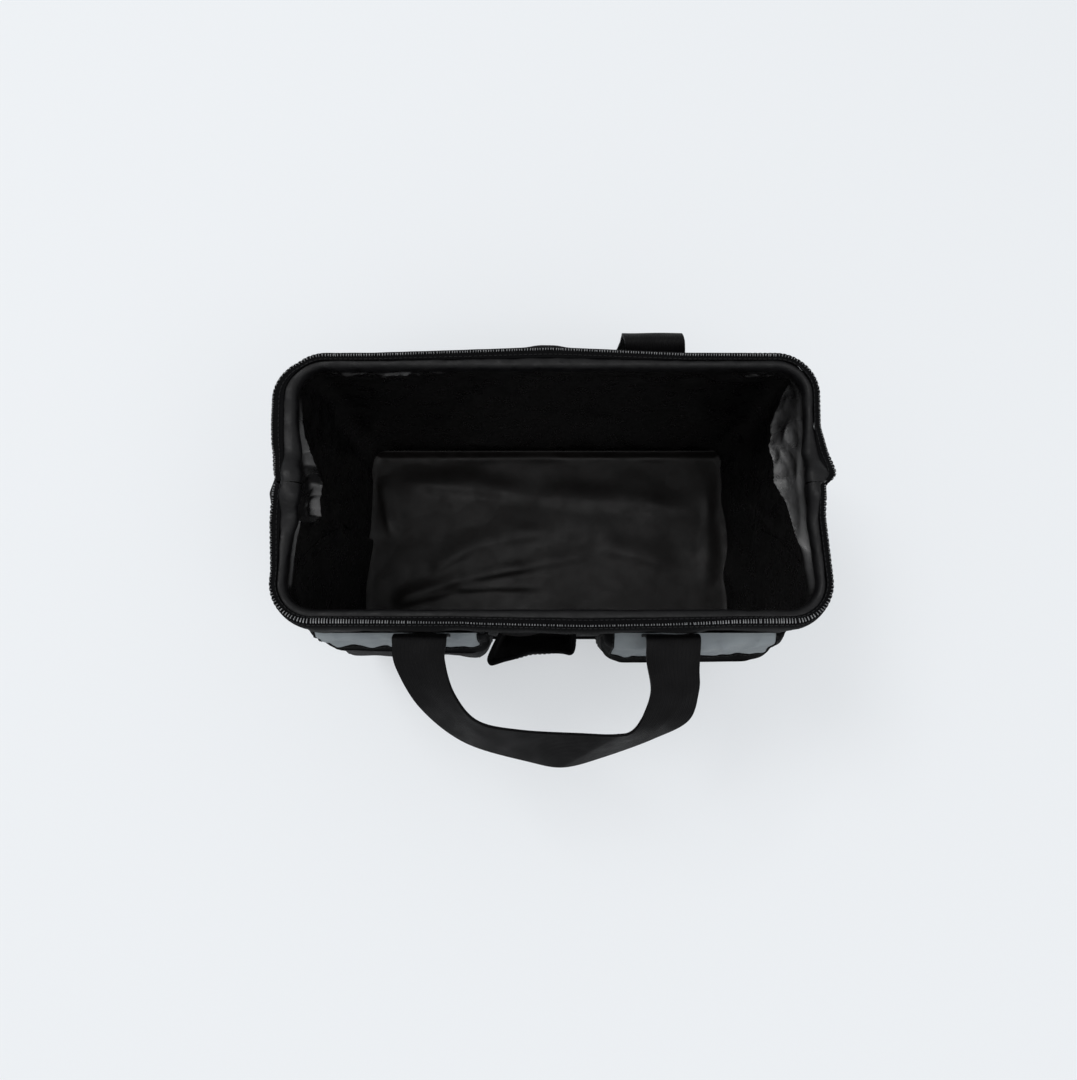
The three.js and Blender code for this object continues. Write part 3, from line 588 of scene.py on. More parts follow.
for start, end, width, height in floor_folds:
    floor_relief = floor_relief + soft_fold(x, y, start, end, width, height)
outer_share = np.maximum(np.abs(u), np.abs(v))
inland = 1 - smoothstep(outer_share, 0.86, 0.99)
upturn = 7 * smoothstep(outer_share, 0.9, 1) ** 2
floor_grid = np.stack([x, y, floor_top + np.maximum(floor_relief, -0.3) * inland + upturn], axis=2)
floor_cloth = lay("floor_cloth", floor_grid, lining_thickness, floor_nylon)
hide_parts("floor_lining")
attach(floor_cloth, "root")
declare(floor_cloth, floor_grid, "laid", "base_board")

# Hem sleeves: the lining's nylon again, sewn into a tube round the frame's wire in a front and a rear half.
# It is gathered at the rivets, where the mouth's rim rises over them.
hem_cloth = Finish("hem_cloth", roughness=0.42, specular=0.24)
hem_cloth.colours(hem_cloth.noise(30, 5), (0.2, (0.0018, 0.0018, 0.0021)), (0.85, (0.0042, 0.0040, 0.0046)))
hem_cloth.feed("Roughness", 0.38 + 0.25 * hem_cloth.noise(12, 4).band(0.25, 0.75))
hem_cloth.bump(1.8 * hem_cloth.noise(14, 5) + 0.4 * hem_cloth.noise(3, 3), 0.6)
up = np.array([0, 0, 1.0])
pivot_rise = 8.8
hem_thickness = 0.5


def half_rim_places(rear, start, step):
    """Evenly spaced places round one half of the mouth, between its two rivets"""
    first = start / (bar_y - corner_radius) * end_run
    count = round((half_loop - 2 * first) / step)
    return np.linspace(first, half_loop - first, count) + half_loop * rear


def rim_frames(s, out, z):
    """Points round the mouth, and the directions outward and along there"""
    points = rim_loop(s, out, z)
    along = unit(np.gradient(points, axis=0))
    return points, np.cross(along, up), along


def rise_over_rivets(s):
    """How far places round the mouth lie from the nearest rivet, and how high the rim rises there"""
    from_rivet = half_loop / 2 - np.abs(np.mod(s, half_loop) - half_loop / 2)
    return from_rivet, pivot_rise * (1 - smoothstep(from_rivet, 7, 30))


def rounded(share, power):
    """A sine or cosine drawn out towards a rounded square's"""
    return np.sign(share) * np.abs(share) ** power


for half, rear, _ in halves:
    s = half_rim_places(rear, 0.08, 2.5)
    from_rivet, rise = rise_over_rivets(s)
    centres, outward = rim_frames(s, 0, sleeve_z + rise)[:2]
    pucker = 1 + ripple(s, 0, 26, 31 + rear) * 0.04 + ripple(s, 0, 9, 33 + rear) * 0.02
    left_end = np.abs(s - half_loop) > half_loop / 2
    gather = np.where(left_end, 5.5, 2.0) * (1 - smoothstep(from_rivet, 6, 60)) - 1.4
    outer_reach = (sleeve_radius - 0.6 + slack(s)) * pucker
    inner_reach = (sleeve_radius + gather) * pucker
    angle = np.linspace(-math.pi / 2, math.pi * 1.5, 30)[:, None]
    ring_across = rounded(np.cos(angle), 0.85)
    ring_up = rounded(np.sin(angle), 0.95) * sleeve_radius
    reach = np.where(ring_across > 0, outer_reach, inner_reach)
    hem = centres + outward * (ring_across * reach)[..., None] + up * (ring_up * pucker)[..., None]
    sleeve = lay(f"{half}_sleeve_cloth", hem, hem_thickness, hem_cloth)
    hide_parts(f"{half}_hem_sleeve")
    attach(sleeve, f"{half}_mouth")
    declare(sleeve, hem, "stretched", f"{half}_frame")

# Zip tape: a woven band with fine cross ribs, folded over the sleeve's outer side and sewn to it in two
# rows. It waves a little, and stands out in the middle of the rear. Its section and its seams are rows of
# (out from the wire, up from the sleeve's top).
tape = Finish("woven_tape", roughness=0.8, specular=0.07)
tape.sheen(0.01, 0.5)
tape_ribs = tape.cloth_axes()[0].wave(1.1)
tape.colours(0.7 * tape.noise(20, 4) + 0.3 * tape_ribs * tape_ribs,
             (0.2, (0.0010, 0.0010, 0.0012)), (0.9, (0.0032, 0.0033, 0.0038)))
tape.bump(0.6 * tape_ribs * tape_ribs + 0.6 * tape.noise(6, 3), 0.35)
tape_thickness = 0.8
tape_rise_share = 0.7
sleeve_top = sleeve_z + sleeve_radius
tape_section = np.array([
    (2.5, 0.6), (4.4, 1.0), (6.6, 0.9), (8.6, 0.3), (10.4, -1.4), (11.7, -4.2), (12.3, -7.6),
    (12.6, -11.4)]) + [0, sleeve_top]
seams = ((3.8, 1.4), (9.6, -0.4))
stitch_lines = {body: [] for body in (
    "front_mouth", "rear_mouth", "front_wall", "left_cover", "right_cover", "mouth_pivots")}


def distances(points):
    """Distances along a line of points"""
    return np.concatenate([[0], np.cumsum(np.linalg.norm(np.diff(points, axis=0), axis=1))])


def at_distances(values, travelled, places):
    """A line's values at places along it"""
    return np.stack([np.interp(places, travelled, column) for column in values.T], axis=1)


def curve_through(points, count):
    """Evenly spaced points on a smooth curve through the given ones"""
    points = np.asarray(points, dtype=float)
    padded = np.concatenate([2 * points[:1] - points[1:2], points, 2 * points[-1:] - points[-2:-1]])
    place = np.linspace(0, len(points) - 1, count * 4)
    span = np.minimum(place.astype(int), len(points) - 2)
    t = (place - span)[:, None]
    a, b, c, d = (padded[span + step] for step in range(4))
    smooth = b + (c - a) * t / 2 + (a - 2.5 * b + 2 * c - d / 2) * t ** 2 + (
        1.5 * (b - c) + (d - a) / 2) * t ** 3
    travelled = distances(smooth)
    return at_distances(smooth, travelled, np.linspace(0, travelled[-1], count))


for half, rear, _ in halves:
    s = half_rim_places(rear, 1.2, 2.5)
    rise = rise_over_rivets(s)[1] * tape_rise_share
    section = curve_through(tape_section, 14)
    edge_share = np.linspace(0, 1, 14)[:, None] ** 2
    wave = ripple(s, 0, 60, 35 + rear) * 0.7 + ripple(s, 0, 18, 37 + rear) * 0.2
    wave = (wave + 4.5 * np.exp(-((s - 1.505 * half_loop) / 14) ** 4))[None] * edge_share
    band_z = section[:, 1:] - np.abs(wave) * 0.4 + rise[None] * (1 - edge_share)
    grid = rim_loop(s[None], section[:, :1] + wave, band_z)
    band = lay(f"{half}_tape_cloth", grid[::-1], tape_thickness, tape)
    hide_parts(f"{half}_zip_tape")
    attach(band, f"{half}_mouth")
    declare(band, grid, "folded", f"{half}_sleeve_cloth")
    for out, height in seams:
        points, outward = rim_frames(s, out, sleeve_top + height + rise)[:2]
        stitch_lines[f"{half}_mouth"].append((points, unit(outward * (out - 2) + up * 6)))

# Zip teeth: bars of nylon with a silver coat, darker where it has rubbed off. They lie across the tape, and
# each has a wider head at its tip. More of their length shows round the corners than elsewhere. A tooth's
# stations are rows of (out, width, height).
zip_coil = Finish("zip_coil", roughness=0.4, metallic=0.2, specular=0.45)
zip_coil.colours(zip_coil.noise(7, 4), (0.3, (0.13, 0.133, 0.138)), (0.7, (0.34, 0.345, 0.35)))
zip_coil.bump(zip_coil.noise(0.8, 2), 0.1)
tooth_root = 5.9
tooth_tip = 8.4
tooth_pitch = 2.0
tooth_bottom = sleeve_top + 0.9
tooth_sides = 8
tooth_stations = (
    (tooth_root, 0.45, 0.6), (tooth_root + 0.3, 0.65, 1.1), (tooth_tip - 1.2, 0.65, 1.3),
    (tooth_tip - 0.7, 0.95, 1.4), (tooth_tip - 0.2, 0.85, 1.1), (tooth_tip, 0.4, 0.6))
shown_places = (0, 0.8, 1.6, 1.75, 2.1)
shown_shares = {"front": (0.45, 0.9, 1.5, 1.2, 0.5), "rear": (0.45, 0.6, 0.8, 0.7, 0.6)}


def oval(width, height, sides):
    """A closed oval section"""
    angle = np.arange(sides) / sides * 2 * math.pi
    return np.stack([np.cos(angle) * width / 2, np.sin(angle) * height / 2], axis=1)


def tube_faces(count, stations, sides):
    """Faces of a number of capped tubes, each with the given stations and sides"""
    index = np.arange(stations * sides).reshape(stations, sides)
    here, after = index[:-1], index[1:]
    wall = np.stack([here, np.roll(here, -1, axis=1), np.roll(after, -1, axis=1), after], axis=2)
    caps = np.stack([index[0][::-1], index[-1]])
    steps = np.arange(count)[:, None, None] * stations * sides
    return ((wall.reshape(1, -1, 4) + steps).reshape(-1, 4).tolist()
            + (caps[None] + steps).reshape(-1, sides).tolist())


for half, rear, _ in halves:
    s = half_rim_places(rear, 3, tooth_pitch)
    points, outward, along = rim_frames(s, 0, tooth_bottom + rise_over_rivets(s)[1] * tape_rise_share)
    bar = oval(1, 1, tooth_sides) + [0, 0.5]
    local = np.stack([np.stack([np.full(tooth_sides, out), bar[:, 0] * width, bar[:, 1] * height], axis=1)
                      for out, width, height in tooth_stations]).reshape(-1, 3)
    tilt = np.random.default_rng(41 + rear).normal(0, 0.03, len(s))[:, None, None]
    corner, side = loop_shares(s)[1:3]
    shown = np.interp(side + corner, shown_places, shown_shares[half])[:, None, None]
    outward_reach = tooth_tip - (tooth_tip - local[None, :, :1]) * shown + slack(s)[:, None, None]
    sideways = local[None, :, 1:2] + tilt * local[None, :, :1]
    corners = (points[:, None] + outward[:, None] * outward_reach + along[:, None] * sideways
               + up * local[None, :, 2:]).reshape(-1, 3)
    faces = tube_faces(len(s), len(tooth_stations), tooth_sides)
    teeth = write_mesh(f"{half}_teeth_coil", corners, faces, corners[:, :2], zip_coil)
    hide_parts(f"{half}_zip_teeth")
    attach(teeth, f"{half}_mouth")

# Handles: one piece of heavy ribbed web each, sewn on the wall at both ends. The front one has flopped
# forward and is creased across its right shoulder, and the rear one hangs behind the wall. Edges run from
# the left foot to the right one.
webbing = Finish("webbing", roughness=0.6, specular=0.1)
webbing.sheen(0.015, 0.4)
web_along, web_across = webbing.cloth_axes()
web_rib = web_across.wave(1.5)
web_twill = (web_along + 0.9 * web_rib).wave(1.0)
web_height = 0.6 * web_rib * web_rib + 0.4 * web_twill * web_twill
webbing.colours(0.3 * web_height + 0.7 * webbing.noise(30, 5),
                (0.2, (0.0012, 0.0011, 0.0014)), (0.85, (0.0036, 0.0034, 0.0038)))
webbing.feed("Roughness", 0.48 + 0.2 * webbing.noise(18, 3).band(0.25, 0.75))
webbing.bump(0.6 * web_height + 0.4 * webbing.noise(5, 3), 0.28)
front_outer_edge = (
    (-117, -107.4, 186), (-117, -107.6, 200), (-117, -109.6, 210), (-117, -115, 211.5), (-115, -133, 204),
    (-98, -163, 190), (-65, -189, 179), (-17, -203, 177), (10, -207, 176), (40, -200, 174),
    (78, -186, 179), (103, -172, 190), (110, -151, 197), (109, -133, 208), (110, -115, 212),
    (110, -109.6, 210), (110, -107.6, 200), (110, -107.4, 186))
front_inner_edge = (
    (-77, -107.4, 186), (-77, -107.6, 200), (-77, -109.6, 210), (-77, -115, 213), (-78, -128, 216),
    (-71, -152, 216), (-54, -172, 213), (-23, -179, 207), (24, -181.5, 206), (46, -182, 209),
    (58, -180, 208), (67, -169, 206), (73, -150, 211), (70, -128, 210), (70, -115, 213),
    (70, -109.6, 210), (70, -107.6, 200), (70, -107.4, 186))
rear_outer_edge = (
    (-116, 107.4, 186), (-116, 107.6, 198), (-116, 109, 204), (-116, 112.5, 206), (-116, 114.5, 198),
    (-112, 116, 178), (-92, 121, 145), (-55, 125, 127), (-5, 127, 124), (45, 127, 126),
    (84, 126, 142), (102, 127, 176), (104, 129, 200), (104, 128, 213), (105, 119, 219),
    (107, 110.5, 209), (109, 107.6, 198), (109, 107.4, 186))
rear_inner_edge = (
    (-77, 107.4, 186), (-77, 107.6, 198), (-77, 109, 204), (-77, 112.5, 206), (-77, 114.5, 198),
    (-75, 117, 188), (-64, 124, 172), (-42, 131, 162), (-5, 134, 160), (38, 133, 162),
    (54, 131, 172), (57, 130, 190), (57, 129, 202), (57, 128, 213), (58, 119, 219),
    (62, 110.5, 209), (68, 107.6, 198), (70, 107.4, 186))
web_thickness = 2.2
handle_edges = {"front": (front_outer_edge, front_inner_edge), "rear": (rear_outer_edge, rear_inner_edge)}
handle_creases = {"front": (((8, -207), (48, -182), 2.6), ((72, -186), (104, -150), 1.4)), "rear": ()}
handle_bends = {"front": ((-111, 214), (-124, 208)), "rear": ((109, 214), (120, 208))}


def strap(outer, inner, creases):
    """A grid over a flat web between two edges. Each crease is a line in plan, along which it stands up"""
    edges = curve_through(np.concatenate([outer, inner], axis=1), 260)
    across = np.linspace(0, 1, 22)[:, None, None]
    grid = edges[None, :, :3] * (1 - across) + edges[None, :, 3:] * across
    travel = np.linspace(0, 500, 260)[None]
    curl = ripple(travel, across[..., 0] * 39, 90, 51) * 0.5 * np.sin(across[..., 0] * math.pi)
    grid = grid + facing(grid) * curl[..., None]
    for start, end, height in creases:
        run = unit(np.subtract(end, start))
        from_start = grid[..., :2] - start
        beyond = from_start[..., 0] * -run[1] + from_start[..., 1] * run[0]
        near = np.exp(-((from_start @ run - 24) / 45) ** 4)
        grid[..., 2] += height * np.exp(-np.abs(beyond) / 7) * near
    return grid


for half, rear, _ in halves:
    grid = strap(*handle_edges[half], handle_creases[half])
    handle = lay(f"{half}_handle_web", grid[::-1] if rear else grid, web_thickness, webbing)
    declare(handle, grid, "hung", f"{half}_shell")
    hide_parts(f"{half}_handle", f"{half}_left_anchor", f"{half}_right_anchor")
    start, end = ((0, y * MM, z * MM) for y, z in handle_bends[half])
    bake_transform(handle)

# Front pockets: canvas bodies sewn on the wall at their sides and foot, with rounded corners. They stand
# off the wall in a belly, under a mouth that the flap covers. Pairs of numbers in side_pockets are for the
# left and right edges of a pocket.
side_pockets = (
    ("left", (0, 0), (22, 20), (-5, -2.5), 61),
    ("right", (9, 4.5), (24, 30), (5, 7), 71))
pocket_bellies = (17, 12)
pocket_thickness = 1.2


def end_rounding(x, low_x, high_x, radii, power=2.5):
    """How far a place lies into the rounding at either end: 0 at the end itself, 1 beyond both roundings"""
    near_left = np.clip((low_x + radii[0] - x) / radii[0], 0, 1)
    near_right = np.clip((x - high_x + radii[1]) / radii[1], 0, 1)
    return ((1 - near_left ** power) * (1 - near_right ** power)) ** (1 / power)


def front_y(x, z):
    """The front wall's face, which turns back at the bag's corners"""
    turned = np.clip((np.abs(x) - side_run) / corner_radius, 0, 0.97)
    return -wall_y(z) + corner_radius * (1 - np.sqrt(1 - turned ** 2))


def patch(rows, columns, low_u=-1.0, high_u=1.0, low_v=0.0, high_v=1.0):
    """Places on a piece, rows from low_v to high_v and columns from low_u to high_u"""
    v, u = np.meshgrid(np.linspace(low_v, high_v, rows), np.linspace(low_u, high_u, columns), indexing="ij")
    return u, v


def pocket_skin(low, high, mouth_depths, belly, radii, seed, u, v):
    """A pocket's face: u runs from -1 to 1 across it and v from 0 to 1 up it"""
    across = np.sin(u * math.pi / 2)
    x = (low[0] + high[0]) / 2 + (high[0] - low[0]) / 2 * across
    stand = end_rounding(x, low[0], high[0], radii)
    z = low[2] + (high[2] - low[2]) * v
    foot = np.sqrt(1 - (1 - np.clip(v / 0.12, 0, 1)) ** 2)
    mouth = np.maximum(mouth_depths[0] + (mouth_depths[1] - mouth_depths[0]) * (across + 1) / 2, 0.5)
    sag = belly * np.sin(np.clip(v, 0, 1) ** 0.7 * math.pi) ** 0.6
    relief = ripple(x, z, 60, seed) * 1.2 + ripple(x, z, 22, seed + 1) * 0.4 + sag
    relief = relief * (1 - 0.8 * smoothstep(v, 0.85, 1))
    return np.stack([x, front_y(x, z) - 0.5 - (mouth * foot + relief) * stand, z], axis=-1)


def stitched(body, grid, row=None, column=None):
    """Adds a row or a column of a grid to the stitch lines of a body"""
    normals = facing(grid)
    line, line_up = (grid[row], normals[row]) if column is None else (grid[:, column], normals[:, column])
    stitch_lines[body].append((line + line_up * 0.1, line_up))


for (side, mouth_depths, radii, shifts, seed), belly in zip(side_pockets, pocket_bellies):
    low, high = box_mm(f"{side}_pocket")
    low[0] += shifts[0] + 1
    high[0] += shifts[1] - 1
    pocket_radii = (radii[0] - 5, radii[1] - 5)
    skin = pocket_skin(low, high, mouth_depths, belly, pocket_radii, seed, *patch(60, 150))
    pocket = lay(f"{side}_pocket_cloth", skin, pocket_thickness, canvas)
    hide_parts(f"{side}_pocket")
    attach(pocket, "front_wall")
    declare(pocket, skin, "stretched", "front_shell")
    for row in (4, 55, 58):
        stitched("front_wall", skin, row=row)
    for column in (26, 123):
        stitched("front_wall", skin, column=column)

# Flaps: silver-grey woven polyester over the pockets' mouths, sewn to the wall along the top and crumpled
# by use. Black tape is folded over the other three sides and sewn through. flap_fall holds (out, down).
grey_cloth = Finish("grey_cloth", roughness=0.8, specular=0.35)
grey_cloth.sheen(0.1, 0.5)
grey_weave = grey_cloth.weave(0.8)
grey_cloth.colours(0.4 * grey_weave + 0.6 * grey_cloth.noise(24, 5),
                   (0.2, (0.19, 0.215, 0.235)), (0.85, (0.34, 0.375, 0.39)))
grey_cloth.bump(0.6 * grey_weave + 0.8 * grey_cloth.noise(8, 4), 0.35)
flap_flares = ((5, 9), (6.5, 10))
flap_keeps = ((0.35, 0.15), (0.15, 0.14))
flap_thickness = 1.3
flap_length = 60
corner_drop = 15
binding_width = 7.5
binding_grow = 0.8
flap_tuck = 1.5
flap_fall = (
    (0, 0), (7, 0.6), (14, 2.4), (18.5, 5.5), (20.5, 11), (21.5, 22), (22, 34), (22.5, 44))
flap_creases = ((12, 0.16), (-9, 0.47), (15, 0.62), (-12, 0.86))


def between(pair, share):
    """The value a share of the way from a pair's first to its second"""
    return pair[0] + (pair[1] - pair[0]) * share


def flap_hem(low, high, hem_radii, x):
    """How far down a flap its edge lies at a place across it: the two lower corners are rounded off"""
    return flap_length - corner_drop * (1 - end_rounding(x, low[0], high[0], hem_radii, 2))


def flap_skin(low, high, shape, x, drop):
    """A flap's face, by its place across and the distance down it from the seam on the wall"""
    mouth_depths, radii, hem_radii, flares, keeps, seed = shape
    across = (x - low[0]) / (high[0] - low[0])
    fall = curve_through(flap_fall, 160)
    travelled = distances(fall)
    rounding = end_rounding(x, low[0], high[0], radii)
    keep = between(keeps, across)
    stand = (6 + between(mouth_depths, across)) / 21
    edge_dip = 5 * (1 - rounding)
    above_hem = flap_hem(low, high, hem_radii, x) - drop
    flare = between(flares, across) * (
        0.6 * smoothstep(above_hem, 10, -2) + 0.4 * smoothstep(above_hem, 30, 6))
    out = np.interp(drop, travelled, fall[:, 0]) * stand * (keep + (1 - keep) * rounding)
    out = out + flare * (0.5 + 0.5 * rounding)
    z = high[2] - 3 - np.interp(drop, travelled, fall[:, 1]) - edge_dip * smoothstep(drop, 4, 20)
    relief = ripple(x, drop, 46, seed) * 1.3 + ripple(x, drop, 17, seed + 1) * 0.9
    relief = relief * smoothstep(drop, 4, 26)
    for lean, share in flap_creases:
        place = between((low[0], high[0]), share)
        relief = relief + crease_line(x, drop, (place, 8), (place + lean, 42), 4, 1.4)
        relief = relief + crease_line(x, drop, (place - 9, 49), (place + 16, 46), 2.6, 1.7)
    relief = relief * (0.1 + 0.9 * smoothstep(above_hem, 2, 11))
    skin = np.stack([x, front_y(x, z) - 0.9 - out, z], axis=-1)
    return skin + facing(skin) * np.maximum(relief, -2.5)[..., None]


def flap_edge(low, high, hem_radii):
    """Evenly spaced places on a flap's edge, down one side, along the hem and up the other"""
    turn = np.linspace(0, math.pi / 2, 12)[1:-1]
    hem_x = np.concatenate([low[0] + hem_radii[0] * (1 - np.cos(turn)),
                            np.linspace(low[0] + hem_radii[0], high[0] - hem_radii[1], 30),
                            high[0] - hem_radii[1] * (1 - np.cos(turn[::-1]))])
    sides = np.linspace(0, flap_length - corner_drop, 10)
    return curve_through(np.concatenate([
        np.stack([np.full(10, low[0]), sides], axis=1),
        np.stack([hem_x, flap_hem(low, high, hem_radii, hem_x)], axis=1),
        np.stack([np.full(10, high[0]), sides[::-1]], axis=1)]), 230)


def bind(name, skin, cloth_thickness):
    """A tape folded over a cloth's edge, from its face to its back. The skin's first row is the edge"""
    normals = facing(skin)
    beyond = unit(skin[0] - skin[1])
    turn = np.linspace(math.pi, 0, 9)[1:-1, None, None]
    middle = skin[0] - normals[0] * cloth_thickness / 2
    fold_radius = cloth_thickness / 2 + binding_grow
    fold = middle + (normals[0] * np.cos(turn) + beyond * np.sin(turn)) * fold_radius
    back = (skin - normals * (cloth_thickness + binding_grow))[::-1]
    grid = np.concatenate([back, fold, skin + normals * binding_grow])
    piece = lay(name, grid, binding_grow - 0.1, tape)
    return piece, grid


for (side, mouth_depths, radii, shifts, seed), flares, keeps in zip(side_pockets, flap_flares, flap_keeps):
    hem_radii = (radii[0] * 0.75, radii[1] * 0.8)
    shape = (mouth_depths, radii, hem_radii, flares, keeps, seed + 4)
    low, high = box_mm(f"{side}_flap_binding")
    low[0] += shifts[0]
    high[0] += shifts[1]
    x, share = patch(70, 200, low[0] + flap_tuck, high[0] - flap_tuck, 1, 0)
    skin = flap_skin(low, high, shape, x, share * (flap_hem(low, high, hem_radii, x) - flap_tuck))
    flap = lay(f"{side}_flap_cloth", skin, flap_thickness, grey_cloth)
    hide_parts(f"{side}_flap")
    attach(flap, f"{side}_cover")
    declare(flap, skin, "hung", f"{side}_pocket_cloth")
    edge = flap_edge(low, high, hem_radii)
    heading = unit(np.gradient(edge, axis=0))
    inward = np.stack([heading[:, 1], -heading[:, 0]], axis=1)
    flat = edge[None] + inward[None] * np.linspace(0, binding_width, 8)[:, None, None]
    skin = flap_skin(low, high, shape, flat[..., 0], flat[..., 1])
    binding, folded = bind(f"{side}_flap_tape", skin, flap_thickness)
    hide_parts(f"{side}_flap_binding")
    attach(binding, f"{side}_cover")
    declare(binding, folded, "folded", f"{side}_flap_cloth")
    stitched(f"{side}_cover", folded, row=-2)

# Centre pocket: an open canvas patch sewn on the wall at its sides and foot. It gapes, with its left corner
# pulled out, and its mouth is bound in tape. Its outline is in plan, at the mouth and lower down.
centre_base_y = -106
gape = ((-41, -106), (-45, -114), (-50, -125), (-49, -130), (-45, -131), (-31, -127), (-17, -122.5),
        (-3, -121.5), (10, -122), (16.5, -123), (19.5, -120), (20.6, -113), (20.4, -106))
snug = ((-41, -106), (-42, -111), (-43, -116), (-41, -119.5), (-37, -121), (-28, -122), (-17, -122.5),
        (-3, -122.5), (10, -122), (16, -120.5), (19, -117), (20.2, -112), (20.4, -106))
centre_bottom = box_mm("centre_pocket")[0][2]
centre_top = box_mm("centre_pocket_binding")[1][2]


def centre_skin(u, v):
    """The centre pocket's face: u runs from 0 to 1 round it and v from 0 at its foot to 1 at its mouth"""
    wide, plain = (np.stack([np.interp(u, np.linspace(0, 1, 160), curve_through(outline, 160)[:, axis])
                             for axis in range(2)], axis=-1) for outline in (gape, snug))
    z = between((centre_bottom, centre_top), v)
    flare = (np.clip(v, 0, 1) ** 3)[..., None]
    points = plain * (1 - flare) + wide * flare
    stand = np.clip(v, 0, 1) ** 0.5
    wrinkle = np.sin(u * math.pi) * ripple(u * 90, z, 26, 81) * 0.7
    y = -wall_y(z) - 0.4 + (points[..., 1] - centre_base_y - wrinkle) * stand
    x = points[..., 0] * (1 - 0.03 * (1 - v)) - 0.3 * (1 - v)
    return np.stack([x, y, z], axis=-1)


skin = centre_skin(*patch(60, 150, 0, 1, 0, 0.97))
centre_pocket = lay("centre_pocket_cloth", skin, pocket_thickness, canvas)
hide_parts("centre_pocket")
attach(centre_pocket, "front_wall")
declare(centre_pocket, skin, "stretched", "front_shell")
for row in (2, 53):
    stitched("front_wall", skin, row=row)
skin = centre_skin(*patch(8, 150, 1, 0, 1, 0.93))
centre_band, folded = bind("centre_pocket_tape", skin, pocket_thickness)
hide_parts("centre_pocket_binding")
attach(centre_band, "front_wall")
declare(centre_band, folded, "folded", "centre_pocket_cloth")
stitched("front_wall", folded, row=-2)

# Base: a canvas panel under the board, sewn to the walls all round in a seam that is piped with a cord of
# tape.
base_edge = wall_loop(np.linspace(0, half_loop, 200), wall_bottom)[:100][::-1]
v, u = eased_grid(60, 120)
y = v * half_width
x = -u * np.interp(-np.abs(y), base_edge[:, 1], -base_edge[:, 0])
z = 0.1 + 0.25 * np.abs(ripple(x, y, 50, 91)) * (1 - np.maximum(np.abs(u), np.abs(v)) ** 8)
base_grid = np.stack([x, y, z], axis=-1)
base_thickness = 1.5
base_cloth = lay("base_cloth", base_grid, base_thickness, canvas)
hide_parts("base_panel")
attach(base_cloth, "root")
declare(base_cloth, base_grid, "stretched", "base_board")
piping_width = 3.6
piping_height = 2.6
cord = oval(piping_width, piping_width, 12)
around = np.linspace(0, 2 * half_loop, 361)[:-1]
centres = wall_loop(around, piping_height, -0.2)
outward = unit((centres - wall_loop(around, piping_height, 20)) * [1, 1, 0])
points = centres[:, None] + outward[:, None] * cord[:, :1] + up * cord[:, 1:]
ring = np.arange(len(around) * len(cord)).reshape(len(around), len(cord))
following = np.roll(ring, -1, axis=0)
faces = np.stack([ring, following, np.roll(following, -1, axis=1), np.roll(ring, -1, axis=1)], axis=2)
cloth = np.stack(np.meshgrid(distances(centres), distances(cord), indexing="ij"), axis=2).reshape(-1, 2)
piping = write_mesh("base_piping", points.reshape(-1, 3), faces.reshape(-1, 4).tolist(), cloth, tape)
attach(piping, "root")

# Zip tail: the end of the woven zip tape, which runs on past the mouth. It is folded over the right rivet,
# hangs down the outside and has a row of stitches along each edge.
tail_low, tail_high = box_mm("zip_tail")
tail_path = curve_through([(tail_low[0], 0, tail_high[2]), (tail_high[0] - 2, 0, tail_high[2]),
                           (tail_high[0], 0, tail_high[2] - 3), (tail_high[0] + 0.3, 0, tail_high[2] - 14),
                           (tail_high[0], 0, tail_low[2] + 20), (tail_high[0] + 0.2, 0, tail_low[2])], 60)
across = np.linspace(1, -1, 24)[:, None]
tail_grid = tail_path[None] + np.stack([0 * across, across * tail_high[1], 0 * across], axis=-1)
tail_grid[..., 0] += ripple(tail_grid[..., 2], tail_grid[..., 1], 18, 95) * 0.12
tail_cloth = lay("zip_tail_cloth", tail_grid, tape_thickness, tape)
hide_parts("zip_tail")
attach(tail_cloth, "mouth_pivots")
declare(tail_cloth, tail_grid, "hung", "right_rivet")
for row in (2, 21):
    stitched("mouth_pivots", tail_grid, row=row)

# Stitches: short lengths of waxed polyester thread in all the seams above, which dip into the cloth at both
# ends. A stitch's stations are rows of (along, thickness, height).
thread = Finish("thread", roughness=0.6, specular=0.2)
thread_along, thread_across = thread.cloth_axes()
thread_ply = (thread_along + 1.5 * thread_across).wave(0.5)
thread.colours(thread_ply * thread_ply, (0.1, (0.004, 0.004, 0.0045)), (0.9, (0.014, 0.014, 0.015)))
thread.bump(thread_ply * thread_ply, 0.12)
stitch_length = 2.9
stitch_pitch = 3.8
stitch_radius = 0.36
stitch_sides = 6
stitch_stations = np.array([(-0.5, 0.35, -0.5), (-0.42, 0.9, -0.1), (-0.2, 1, 0.25), (0.2, 1, 0.25),
                            (0.42, 0.9, -0.1), (0.5, 0.35, -0.5)])


